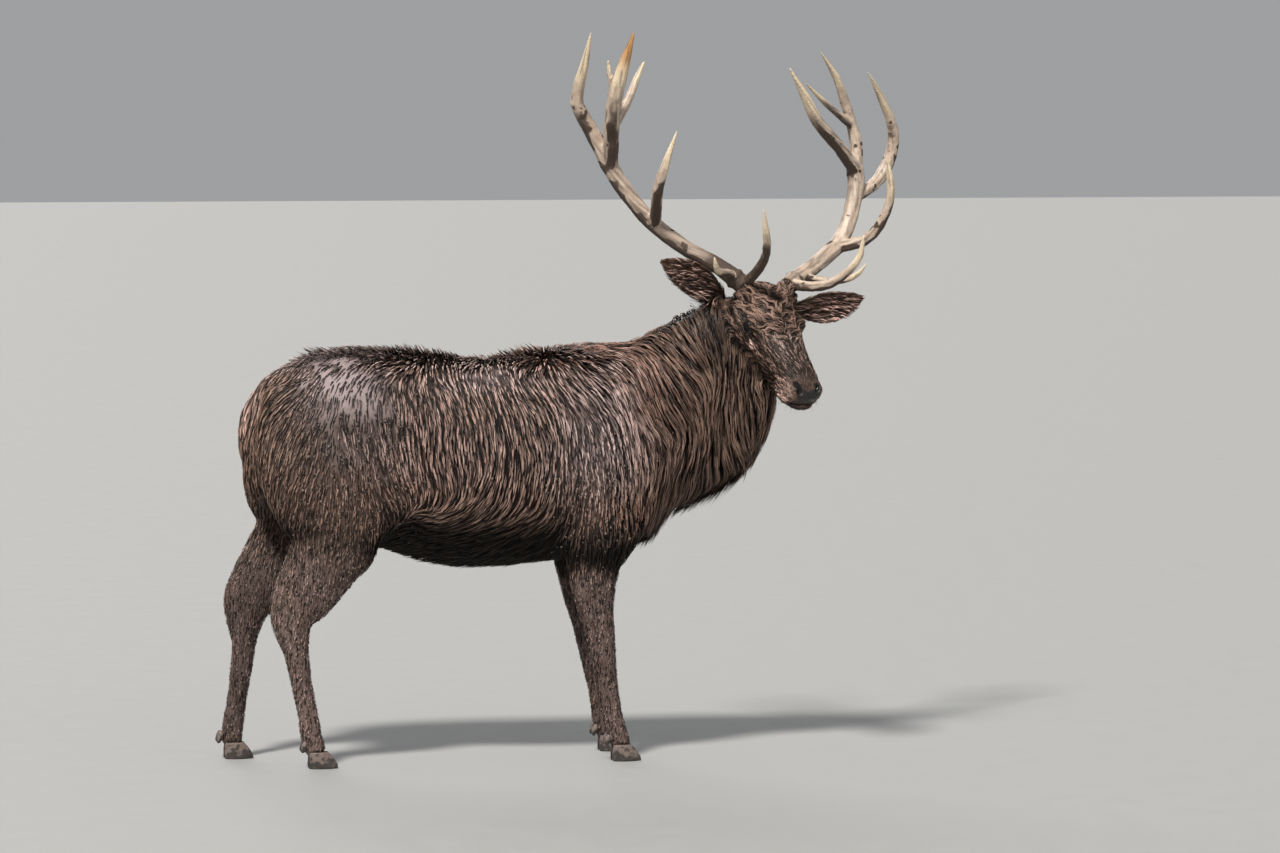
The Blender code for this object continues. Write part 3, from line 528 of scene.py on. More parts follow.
def dent(centre, sizes, power=2.0, axes=np.eye(3)):
    """1 at the centre of an ellipsoid given in the head's own places, 0 at its edge."""
    d = (HEAD - np.array(centre)) @ np.array(axes, dtype=float).T / np.array(sizes)
    r = np.sqrt((d ** 2).sum(axis=1))
    return np.clip(1.0 - r ** power, 0.0, 1.0)


def groove(way, width, *places):
    """1 along a path of head places, 0 past width to either side; way is -1 for the right of the head."""
    best = np.full(len(HEAD), 9.0)
    path = np.array(places) * (1.0, way, 1.0)
    for start, end in zip(path[:-1], path[1:]):
        edge = end - start
        t = np.clip(((HEAD - start) @ edge) / (edge @ edge), 0, 1)
        best = np.minimum(best, np.linalg.norm(HEAD - start - t[:, None] * edge, axis=1))
    return np.clip(1.0 - best / width, 0.0, 1.0)


lid_light, inside_nose, near_eye, gland_dark, bare, sink = np.zeros((6, len(P)))
for s in MIRROR:
    nostril = dent((0.250, s * 0.031, -0.002), (0.019, 0.015, 0.0090),
                   axes=[(0.75, s * 0.66, 0), (-s * 0.35, 0.45, 0.82), (0.4, -0.6, 0.6)])
    wing = groove(s, 0.006, (0.258, 0.021, -0.018), (0.252, 0.037, -0.002), (0.238, 0.047, 0.000),
                  (0.220, 0.052, -0.004))
    rim = groove(s, 0.008, (0.262, 0.016, -0.026), (0.258, 0.041, -0.022), (0.246, 0.050, -0.010))
    gland = groove(s, 0.0105, (0.004, 0.093, 0.002), (0.018, 0.086, -0.004), (0.036, 0.077, -0.014))
    lips = groove(s, 0.0058, (0.264, 0.0, -0.056), (0.258, 0.030, -0.060), (0.242, 0.048, -0.065),
                  (0.215, 0.062, -0.073), (0.185, 0.063, -0.080))
    zygoma = groove(s, 0.016, (0.020, 0.078, -0.040), (0.075, 0.070, -0.045), (0.120, 0.062, -0.045))
    hollow = groove(s, 0.018, (0.070, 0.062, -0.012), (0.120, 0.058, -0.012), (0.170, 0.054, -0.012))
    sink += 0.015 * nostril ** 0.7 + 0.004 * wing + 0.0075 * step(gland, 0.1, 0.9)
    for line, depth in ((rim, -0.0022), (lips, 0.0065), (zygoma, -0.0030), (hollow, 0.0035)):
        sink += depth * step(line, 0.0, 1.0)
    for line, first, full in ((nostril, 0.0, 0.3), (gland, 0.08, 0.5), (lips, 0.30, 0.7)):
        bare = np.maximum(bare, step(line, first, full))
    # Painted shade inside each nostril.
    inside_nose = np.maximum(inside_nose, step(nostril, 0.05, 0.35))
    gland_dark = np.maximum(gland_dark, step(gland, 0.0, 0.45))
pad = step(fwd, 0.234, 0.240) * step(dor, -0.050, -0.044) * (1 - step(np.abs(lat) - 0.45 * dor, 0.042, 0.050))
pad *= 1 - step(dor + 0.30 * (0.022 - np.abs(lat)), -0.008, 0.002)
bare = np.maximum(bare, pad)
sink += 0.0024 * groove(1.0, 0.004, (0.266, 0, -0.024), (0.268, 0, -0.058))
P = P - NORMAL * sink[:, None]

# Lids: the skin stands clear of each eyeball round an almond opening, and falls behind it inside.
EYE_SIZE = 0.0190
LID_LENGTH, LID_TOP, LID_BOTTOM = 0.0180, 0.0134, 0.0106


def lid_height(forward, upper):
    """Half the height of the opening, narrower towards its front corner."""
    return np.where(upper, LID_TOP, LID_BOTTOM) * (1.0 - 0.30 * step(forward, 0.004, 0.018))


SOCKETS, RIMS = [], []
for name, middle_of_node in EYES.items():
    s = 1.0 if name == "left" else -1.0
    centre = np.array(middle_of_node) - 0.010 * FORTH - 0.004 * UPPER
    out = unit(ASIDE * s * 0.90 + FORTH * 0.44 + UPPER * 0.04)
    ahead = unit(FORTH - out * (FORTH @ out))
    above = unit(np.cross(out, ahead))
    above = above if above @ UPPER > 0 else -above
    ahead = unit(ahead + above * 0.14)
    above = unit(above - ahead * (above @ ahead))
    d = P - centre
    r = np.linalg.norm(d, axis=1)
    over_eye = ((d @ out) / r > 0.93) & (r < 0.045)
    stand = float(np.median(r[over_eye])) - EYE_SIZE - 0.0010
    centre = centre + out * min(max(stand, -0.002), 0.009)
    d = P - centre
    r = np.linalg.norm(d, axis=1)
    # p, q and o: a vertex ahead of, above and out from the eyeball's centre; reach is 1 on the lids' edge.
    p, q, o = d @ ahead, d @ above, d @ out
    reach = np.sqrt((p / LID_LENGTH) ** 2 + (q / lid_height(p, q > 0)) ** 2)
    facing = step(o, -0.004, 0.008) * (1 - step(r, 0.046, 0.066))
    inside = facing * (1 - step(reach, 0.93, 1.03))
    lid = facing * step(reach, 0.93, 1.03)
    clear = EYE_SIZE + 0.0016 + 0.0014 * step(reach, 1.05, 1.5)
    lifted = d * ((clear + (r - clear) * step(reach, 1.3, 4.0)) / r)[:, None]
    fold = 0.0022 * np.exp(-((reach - 1.75) / 0.14) ** 2) * step(q, -0.004, 0.006)
    swell = 0.0018 * np.exp(-((reach - 1.38) / 0.16) ** 2)
    lifted = lifted * (1 + (swell - fold) / r)[:, None]
    d = d + (lifted - d) * lid[:, None]
    sunk = d * ((EYE_SIZE - 0.0035) / r)[:, None]
    d = d + (sunk - d) * inside[:, None]
    P = np.where((facing > 0)[:, None], centre + d, P)
    near_eye = np.maximum(near_eye, facing * (1 - step(reach, 1.5, 2.3)))
    below = step(-q - 0.3 * p, -0.002, 0.005)
    lid_light = np.maximum(lid_light, facing * np.exp(-((reach - 1.30) / 0.20) ** 2) * below)
    bare = np.maximum(bare, facing * (1 - step(reach, 1.12, 1.30)) * (1 - 0.75 * lid_light))
    turn = turns(48)
    pp = LID_LENGTH * np.cos(turn)
    qq = lid_height(pp, np.sin(turn) > 0) * np.sin(turn)
    pp = pp + 0.0030 * np.maximum(np.cos(turn), 0) ** 6
    rest = np.sqrt(np.maximum(EYE_SIZE ** 2 - pp ** 2 - qq ** 2, 1e-6))
    ring = unit(np.outer(pp, ahead) + np.outer(qq, above) + np.outer(rest, out))
    RIMS.append(centre + ring * (EYE_SIZE + 0.0010))
    lash = ring[np.sin(turn) > 0.15]
    SOCKETS.append((centre, lash, above, out, ahead))
LONG = LONG * (1 - 0.60 * near_eye)
skin_surface.v = P
NORMAL = unit(skin_surface.blur(skin_surface.normals(), 1))
bare = np.clip(skin_surface.blur(bare, 1), 0, 1)


# ---- markings, the same for skin and coat ----
rough_edge = 0.5 + 0.5 * noise(P, 0.045, 21) + 0.25 * noise(P, 0.015, 23)
# Mud: real caked mud whose lavender grey is partly a painted wet sheen reflecting the sky, most on the tops
# of rump, back and shoulder and on the upper plates.
mud_and_sheen = body * spots((1.2, -0.43, 1.14, 0.11, 0.09), (0.35, -0.36, 0.98, 0.14, 0.12),
                   (0.75, 0.33, 1.00, 0.12, 0.19), (0.7, 0.02, 1.16, 0.16, 0.035),
                   (0.25, -0.10, 0.98, 0.30, 0.16))
bridge = head * step(dor, -0.02, 0.04) * step(fwd, 0.02, 0.10) * step(0.25 - fwd, 0.0, 0.04)
mud_and_sheen = np.clip((mud_and_sheen + 0.26 * leg + 0.26 * bridge) * (0.55 + 0.9 * rough_edge), 0, 1)
mud_and_sheen = np.maximum(mud_and_sheen, 0.95 * PLATE * step(HIGH, 0.98, 1.10))
SPINE = np.exp(-((HIGH - 1.205) / 0.030) ** 2) * body * step(0.45 - AHEAD, 0.0, 0.1)
rust = body * spots((0.95, 0.24, 1.23, 0.16, 0.05), (0.5, -0.18, 0.95, 0.16, 0.12),
                    (0.5, 0.38, 0.78, 0.10, 0.10), (0.35, 0.45, 1.13, 0.12, 0.12))
rust = np.clip(rust * (0.5 + rough_edge) + 0.40 * ear, 0, 1)
down = step(-NORMAL[:, 2], 0.05, 0.75)
# Painted shade on the legs' inner sides, between the legs.
inner_leg_shade = step(np.where(HERE[:, 1] > 0, -NORMAL[:, 1], NORMAL[:, 1]), 0.1, 0.8) * step(0.95 - HIGH, 0.0, 0.15)
# Dark fur low on the belly, and painted shade on every face turned down.
belly_and_underside_shade = 0.45 * step(0.80 - HIGH, 0.0, 0.12) + 0.5 * step(0.70 - HIGH, 0.0, 0.06) + 0.75 * down
snout = head * step(fwd, 0.16, 0.20)
DARK_PLACES = (
    body * np.clip(belly_and_underside_shade, 0, 1),
    body * spots((0.70, -0.15, 1.215, 0.45, 0.022)),
    body * spots((0.42, -0.52, 0.98, 0.14, 0.13)),
    body * spots((0.62, 0.30, 1.20, 0.13, 0.035)),
    body * 0.60 * step(AHEAD, 0.48, 0.66) * step(1.10 - HIGH, 0.0, 0.25),
    body * 0.36 * step(AHEAD, 0.42, 0.56),
    body * 0.14 * step(deep, 0.0165, 0.0215),
    (1 - head) * spots((0.95, 0.69, 1.32, 0.11, 0.13)),
    leg * (0.10 + 0.22 * step(HIGH, 0.45, 0.75) + 0.12 * (AHEAD > 0)),
    leg * 0.45 * inner_leg_shade,
    head * 0.16 * step(0.19 - fwd, 0.0, 0.05),
    head * 0.55 * step(-fwd, 0.0, 0.12) * step(-dor, 0.02, 0.09),
    snout * 0.45 * step(dor, -0.014, -0.002),
    snout * 0.55 * step(-dor, 0.062, 0.070),
    ear * 0.75 * cup * step(noise(P, 0.02, 29), -0.6, 0.5),
    gland_dark * 0.85 * (1 - step(lid_light, 0.1, 0.4)),
)
dark = np.clip(np.maximum.reduce(DARK_PLACES), 0, 1)
pale = np.maximum(0.35 * tail, 0.95 * lid_light)
for s in MIRROR:
    pale = np.maximum(pale, 0.95 * dent((0.024, s * 0.076, -0.030), (0.026, 0.030, 0.017), 1.5))
    pale = np.maximum(pale, dent((0.220, s * 0.052, -0.038), (0.056, 0.031, 0.042), 1.3))
MARKS = np.stack([mud_and_sheen, rust, dark, np.clip(pale, 0, 1)], axis=1)
MARKS = np.clip(skin_surface.blur(MARKS, 1), 0, 1)


# ---- the skin as an object ----
def tube(path, width, sides=8):
    """A round tube along a closed path, as vertices and triangles."""
    n = len(path)
    run = unit(np.roll(path, -1, axis=0) - np.roll(path, 1, axis=0))
    face = unit(np.cross(run, unit(path - path.mean(axis=0))))
    outward = np.cross(face, run)
    turn = turns(sides)
    verts = (path[:, None] + outward[:, None] * (np.cos(turn) * width)[None, :, None]
             + face[:, None] * (np.sin(turn) * width)[None, :, None]).reshape(-1, 3)
    i = np.repeat(np.arange(n), sides)
    k = np.tile(np.arange(sides), n)
    this, beside = i * sides + k, i * sides + (k + 1) % sides
    onward, over = (i + 1) % n * sides + k, (i + 1) % n * sides + (k + 1) % sides
    return verts, np.concatenate([np.stack([this, beside, over], 1), np.stack([this, over, onward], 1)])


def put(obj, name, kind, values):
    """Writes an attribute of the vertices."""
    layer = obj.data.attributes.new(name, kind, "POINT")
    field = {"FLOAT": "value", "FLOAT_VECTOR": "vector", "FLOAT_COLOR": "color"}[kind]
    layer.data.foreach_set(field, np.ascontiguousarray(values, dtype=np.float32).ravel())


def put_uv(obj, faces, uv):
    """Writes each vertex's place on the UV map OFBake."""
    layer = obj.data.uv_layers.new(name="OFBake")
    layer.data.foreach_set("uv", uv[faces.ravel()].astype(np.float32).ravel())


verts, faces = skin_surface.v, skin_surface.f
for rim in RIMS:
    rim_verts, rim_faces = tube(rim, 0.0012)
    faces = np.concatenate([faces, rim_faces + len(verts)])
    verts = np.concatenate([verts, rim_verts])
rim_count = len(verts) - len(skin_surface.v)
# Painted shade: the skin under deep fur and on most of the head turns near black, so the gaps between locks
# read dark.
under = np.maximum(step(deep, 0.004, 0.012) * (1 - PLATE), 0.85 * head * (1 - step(fwd, 0.19, 0.235)))
all_bare = np.append(bare, np.ones(rim_count))
BARE_FACE = all_bare[faces].mean(axis=1) > 0.5
skin = new_mesh("skin", verts, faces)
skin.data.uv_layers.new(name="OFBake")
bpy.context.view_layer.objects.active = skin
skin.select_set(True)
bpy.ops.object.mode_set(mode="EDIT")
bpy.ops.mesh.select_all(action="SELECT")
bpy.ops.uv.smart_project(angle_limit=math.radians(66), island_margin=0.001)
bpy.ops.object.mode_set(mode="OBJECT")
skin.select_set(False)
put(skin, "marks", "FLOAT_COLOR", np.concatenate([MARKS, np.tile([0.0, 0.0, 0.9, 0.0], (rim_count, 1))]))
put(skin, "bare", "FLOAT", all_bare)
for name, values in (("under", under), ("plate", PLATE), ("inside", inside_nose)):
    put(skin, name, "FLOAT", np.append(values, np.zeros(rim_count)))

loops = np.empty(len(skin.data.loops) * 2)
skin.data.uv_layers["OFBake"].data.foreach_get("uv", loops)
corner = np.empty(len(skin.data.loops), dtype=np.int32)
skin.data.loops.foreach_get("vertex_index", corner)
ROOT_UV = np.zeros((len(verts), 2))
ROOT_UV[corner] = loops.reshape(-1, 2)

# ---- the coat ----
P = skin_surface.v
FACES = skin_surface.f
AREA = 0.5 * np.linalg.norm(crossed(P, FACES), axis=1)
LIE = unit(square_to(LIE, NORMAL))


def cells(points, size):
    """A number for the cube of side size that each point is in."""
    return np.floor(points / size).astype(np.int64) @ np.array([1, 4099, 16785407])


def scatter(region, spacing):
    """Evenly strewn roots over the faces of a region: (vertex nearest, place)."""
    chance = AREA * region[FACES].mean(axis=1) / spacing ** 2 * 3.0
    tri = np.repeat(np.arange(len(FACES)), RNG.poisson(chance))
    b = RNG.random((len(tri), 2))
    flip = b.sum(axis=1) > 1
    b[flip] = 1 - b[flip]
    c = FACES[tri]
    point = P[c[:, 0]] * (1 - b.sum(axis=1))[:, None] + P[c[:, 1]] * b[:, :1] + P[c[:, 2]] * b[:, 1:]
    order = RNG.permutation(len(point))
    point, c = point[order], c[order]
    _, first = np.unique(cells(point, spacing * 1.12), return_index=True)
    point, c = point[first], c[first]
    gap = np.linalg.norm(P[c] - point[:, None], axis=2)
    return c[np.arange(len(c)), gap.argmin(axis=1)], point


def walk(vertex, point, length, rings):
    """Places, normals and nearest vertices at each ring of a path that follows the lie of the coat."""
    places, normals, passed = [point], [NORMAL[vertex]], [vertex]
    here, at = vertex, point
    for _ in range(rings - 1):
        ahead = at + LIE[here] * (length / (rings - 1))[:, None]
        for _ in range(5):
            near = skin_surface.near[here]
            gap = np.linalg.norm(P[near] - ahead[:, None], axis=2)
            best = gap.argmin(axis=1)
            own = np.linalg.norm(P[here] - ahead, axis=1)
            step_on = gap[np.arange(len(here)), best] < own
            here = np.where(step_on, near[np.arange(len(here)), best], here)
        n = NORMAL[here]
        at = ahead - n * ((ahead - P[here]) * n).sum(axis=1, keepdims=True)
        places.append(at)
        normals.append(n)
        passed.append(here)
    return np.stack(places, 1), np.stack(normals, 1), np.stack(passed, 1)


def streaks(vertex, point, reach, grain):
    """A field drawn out along the lie of the coat: high on a wet clump, low in the gap between two."""
    total = noise(point, grain, 71)
    for way in (reach, -reach):
        places, _, _ = walk(vertex, point, np.full(len(point), way), 8)
        for k in range(1, 8):
            total = total + noise(places[:, k], grain, 71) * (1 - 0.06 * k)
    _, home = np.unique(cells(point, 0.022), return_inverse=True)
    home = home.ravel()
    drift = np.bincount(home, total) / np.bincount(home)
    total = total - 0.8 * (drift[home] - total.mean())
    return (total - total.mean()) / total.std()


def leaders(vertex, point, clump, crest):
    """For each root the lock its clump gathers to, the one on the highest crest near by."""
    order = np.argsort(-crest, kind="stable")
    _, lead = np.unique(cells(point[order], clump), return_index=True)
    lead = order[lead]
    tree = search_tree(point[lead])
    near = np.array([[hit[1] for hit in tree.find_n(p, 5)] for p in point])
    gap = point[lead[near]] - point[:, None]
    along = (gap * LIE[vertex][:, None]).sum(axis=2)
    wide = np.sqrt(np.maximum((gap ** 2).sum(axis=2) - along ** 2, 0) + (0.35 * along) ** 2)
    return lead[near[np.arange(len(point)), wide.argmin(axis=1)]]


def rooted(region, spacing, rings, stretch, grain, reach, thin):
    """A region's locks: root vertex, place, crest, length, and each one's run over the skin with normals."""
    vertex, point = scatter(region, spacing)
    crest = streaks(vertex, point, reach, grain)
    keep = (crest > thin) & (RNG.random(len(crest)) > 0.80 * PLATE[vertex])
    vertex, point, crest = vertex[keep], point[keep], crest[keep]
    length = LONG[vertex] * stretch * RNG.uniform(0.72, 1.22, len(vertex))
    run, normals, passed = walk(vertex, point, length, rings)
    reached = np.linalg.norm(run[:, -1] - run[:, 0], axis=1)
    keep = (bare[passed] < 0.45).all(axis=1) & (reached > 0.60 * length)
    return [field[keep] for field in (vertex, point, crest, length, run, normals)]


def raised(run, normals, vertex, crest, length, leader, t, lift, hang):
    """The locks' middle lines: in layers above the skin, lifted, and hanging at their tips."""
    n = len(run)
    layer = 0.30 * RNG.uniform(0.0, 1.0, n) + 0.20 * RNG.uniform(0.0, 1.0, n)[leader]
    layer = layer + 0.50 * step(crest, -1.4, 1.2)
    rise = np.minimum(1.0, t / 0.45) ** 0.75 * (1.0 - 0.16 * t ** 3)
    height = (np.maximum(deep[vertex], 0.0008) * layer)[:, None] * rise
    height[:, 0] = -0.0012
    if lift is not None:
        more = np.broadcast_to(lift, len(P))[vertex] * length * RNG.uniform(0.35, 1.5, n)[leader]
        height = height + more[:, None] * t ** 1.3
    path = run + normals * height[:, :, None]
    path[:, :, 2] -= (np.broadcast_to(hang, len(P))[vertex] * length)[:, None] * t ** 2
    return path


def gathered(path, leader, t, clump, pull):
    """The middle lines drawn in on their leader's, most at the tip, and not from several clumps away."""
    meet = (pull * RNG.uniform(0.80, 1.1, len(path)))[:, None] * t ** 0.9
    away = square_to(path - path[leader], unit(np.gradient(path[leader], axis=1)))
    apart = np.linalg.norm(away[:, -1], axis=1)
    meet = meet * (1 - step(apart, 1.8 * clump, 3.6 * clump))[:, None]
    return path - away * np.clip(meet, 0, 0.93)[:, :, None]


def lock_faces(rings):
    """Triangles of one lock: three vertices a ring, left, ridge and right, and one at the tip."""
    tris = []
    for k in range(0, 3 * (rings - 2), 3):
        tris += [(k, k + 1, k + 4), (k, k + 4, k + 3), (k + 1, k + 2, k + 5), (k + 1, k + 5, k + 4)]
    last = 3 * (rings - 2)
    return np.array(tris + [(last, last + 1, last + 3), (last + 1, last + 2, last + 3)])


COAT = []


def grow_coat(name, region, spacing, rings, width, clump, pull, wave=0.0, lift=None, hang=0.0,
              roof=0.35, stretch=1.0, marks=MARKS, grain=0.0062, reach=0.045, thin=-0.9, bright=0.0):
    """One region's locks. clump is the distance between clumps, pull how far their tips meet, grain the
    width of the streaks that the gaps leave, and no lock grows where the streaks fall below thin."""
    vertex, point, crest, length, run, normals = rooted(region, spacing, rings, stretch, grain, reach, thin)
    n = len(vertex)
    t = np.linspace(0, 1, rings)
    leader = leaders(vertex, point, clump, crest)
    path = raised(run, normals, vertex, crest, length, leader, t, lift, hang)
    path = gathered(path, leader, t, clump, pull)
    along = unit(np.gradient(path, axis=1))
    across = unit(np.cross(along, normals))
    if wave:
        turn = RNG.uniform(0, 6.28, n)
        turn = 0.25 * turn + 0.75 * turn[leader]
        pace = RNG.uniform(3.5, 7.5, n)[leader]
        sway = np.sin(turn[:, None] + t * pace[:, None]) * t ** 0.7
        path = path + across * (sway * wave * length[:, None])[:, :, None]
    over = np.cross(across, along)
    taper = np.interp(t, [0, 0.25, 0.6, 0.85, 1.0], [0.75, 1.0, 0.95, 0.62, 0.0])
    half = 0.5 * (width * RNG.uniform(0.75, 1.3, n))[:, None] * taper
    side_step, ridge = across * half[:, :, None], over * (2 * half * roof)[:, :, None]
    verts = np.stack([path - side_step, path + ridge, path + side_step], axis=2)[:, :-1].reshape(n, -1, 3)
    verts = np.concatenate([verts, path[:, -1:]], axis=1)
    per = verts.shape[1]
    tris = lock_faces(rings)
    # Each lock's tone: random variation, plus painted highlight on the clumps' crests and painted shade in
    # the gaps between them; glints are painted highlights.
    tone_and_painted_light = 0.45 + bright + 0.27 * crest + 0.16 * RNG.normal(0, 1, n)[leader] + 0.09 * RNG.normal(0, 1, n)
    glint = RNG.random(n) < 0.24 * SPINE[vertex]
    tone_and_painted_light = np.where(glint, 0.95, np.clip(tone_and_painted_light, 0, 1)) * (1 - 0.75 * PLATE[vertex])
    ring = np.append(np.repeat(t[:-1], 3), 1.0)
    sidewise = np.append(np.tile([-1.0, 0.0, 1.0], rings - 1), 0.0)
    patch = np.stack([sidewise * PATCH / 2, (ring - 0.5) * PATCH], axis=1)
    most = MOST_TRIANGLES // len(tris)
    order = np.argsort(point[:, 0] if n > most else np.arange(n))
    pieces = np.array_split(order, math.ceil(n / most))
    for i, rows in enumerate(pieces):
        m = len(rows)
        faces = copies(tris, m, per)
        obj = new_mesh(name if len(pieces) == 1 else f"{name}_{i + 1}", verts[rows].reshape(-1, 3), faces)
        root_marks = marks[vertex[rows]]
        root_marks[glint[rows], 2] *= 0.25
        root_marks[glint[rows], 0] = 0.6
        put(obj, "marks", "FLOAT_COLOR", np.repeat(root_marks, per, axis=0))
        strand = np.stack([np.tile(ring, m), np.tile(sidewise, m), np.repeat(tone_and_painted_light[rows], per)], axis=1)
        put(obj, "strand", "FLOAT_VECTOR", strand)
        put_uv(obj, faces, (ROOT_UV[vertex[rows]][:, None] + patch).reshape(-1, 2))
        COAT.append(obj)


uncovered = 1 - step(bare, 0.15, 0.5)
leg_zone = step(leg, 0.3, 0.7)
mane = step(deep, 0.0165, 0.0215) * (~is_head) * (~is_leg)
body_zone = (1 - mane) * (~is_head) * (~part("ear_")) * (~part("tail")) * (1 - leg_zone)
top_lift = 0.75 * np.exp(-((HIGH - 1.218) / 0.018) ** 2) * (AHEAD < 0.36)
mane_hang = 0.25 * step(NORMAL[:, 0], 0.2, 0.9) + 0.30 * down
forehead = step(fore, 0.05, 0.4) * is_head
face = is_head * (1 - forehead) * uncovered * (1 - 0.6 * step(fwd, 0.19, 0.25))
cup_marks = MARKS.copy()
cup_marks[:, 3] = np.maximum(cup_marks[:, 3], 0.75 * cup)
cup_marks[:, 2] *= 1 - 0.8 * cup

grow_coat("coat_mane", mane, 0.0053, 6, 0.0031, 0.0090, 0.80, wave=0.035, hang=mane_hang,
          grain=0.0044, reach=0.040, thin=-0.42)
grow_coat("coat_body", body_zone, 0.0055, 5, 0.0031, 0.0095, 0.80, wave=0.025, lift=top_lift,
          hang=0.22 * down, grain=0.0040, reach=0.024, thin=-0.42)
grow_coat("coat_legs", leg_zone, 0.0062, 4, 0.0028, 0.0100, 0.60, grain=0.0048, reach=0.024, thin=-1.0)
grow_coat("coat_tail", part("tail").astype(float), 0.0055, 6, 0.0036, 0.0110, 0.85, wave=0.03, hang=0.05)
grow_coat("coat_forehead", forehead * uncovered, 0.0038, 7, 0.0024, 0.0080, 0.80, wave=0.11,
          lift=0.08 * fore, roof=0.6, grain=0.0046, reach=0.018, thin=-0.42, bright=0.15)
grow_coat("coat_face", face, 0.0034, 5, 0.0016, 0.0080, 0.75, wave=0.13, lift=0.05, stretch=1.5,
          grain=0.0046, reach=0.016, thin=-0.75)
grow_coat("coat_ears", part("ear_") * (1 - 0.55 * cup), 0.0036, 4, 0.0020, 0.0090, 0.8, wave=0.06,
          lift=0.16, stretch=1.25, grain=0.0052, reach=0.020, thin=-0.6)
grow_coat("coat_ear_fringe", part("ear_") * cup, 0.0058, 6, 0.0020, 0.0100, 0.7, wave=0.06, lift=0.20,
          hang=0.16, stretch=2.3, marks=cup_marks, grain=0.0055, reach=0.030)


# ---- antlers ----
def centreline(name, count=10):
    """Middles along a CAD tube, thick end first for a tine and skull end first for a beam."""
    v, f = arrays(NODES[name].data)
    c = v[f].mean(axis=1)
    size = np.linalg.norm(crossed(v, f), axis=1)
    centre = np.average(c, axis=0, weights=size)
    _, _, axes = np.linalg.svd((c - centre) * np.sqrt(size)[:, None], full_matrices=False)
    t = (v - centre) @ axes[0]
    edges = np.linspace(t.min(), t.max(), count + 1)
    points, girth = [], []
    for low, high in zip(edges[:-1], edges[1:]):
        off = np.abs(((c - centre) @ axes[0]) - (low + high) / 2) / (edges[1] - edges[0])
        share = np.clip(1 - off / 1.2, 0, 1) * size
        if share.sum() > 1e-9:
            mid = np.average(c, axis=0, weights=share)
            points.append(mid)
            girth.append(np.average(np.linalg.norm(c - mid, axis=1), weights=share))
    points = np.array(points)
    if "beam" in name:
        from_brow = np.linalg.norm(points - np.array(BROW), axis=1)
        swap = from_brow[-1] < from_brow[0]
    else:
        swap = girth[-1] > girth[0]
    return points[::-1] if swap else points


def along_path(points, path):
    """For each point: how far along the path, its place and its run there; and the path's length."""
    best = np.full(len(points), 9.0)
    far = np.zeros(len(points))
    nearest = np.zeros_like(points)
    run = np.zeros_like(points)
    gone = 0.0
    for start, end in zip(path[:-1], path[1:]):
        edge = end - start
        reach = np.linalg.norm(edge)
        t = (points - start) @ edge / reach ** 2
        first, last = start is path[0], end is path[-1]
        t = np.clip(t, -1.0 if first else 0.0, 2.0 if last else 1.0)
        place = start + t[:, None] * edge
        gap = np.linalg.norm(points - place, axis=1)
        near = gap < best
        best = np.where(near, gap, best)
        far = np.where(near, gone + t * reach, far)
        nearest = np.where(near[:, None], place, nearest)
        run = np.where(near[:, None], edge / reach, run)
        gone += reach
    return far, nearest, run, gone


def ending(nodes, owner, end):
    """Which vertices belong to the nodes whose names end so."""
    return np.isin(owner, [i for i, node in enumerate(nodes) if node.endswith(end)])


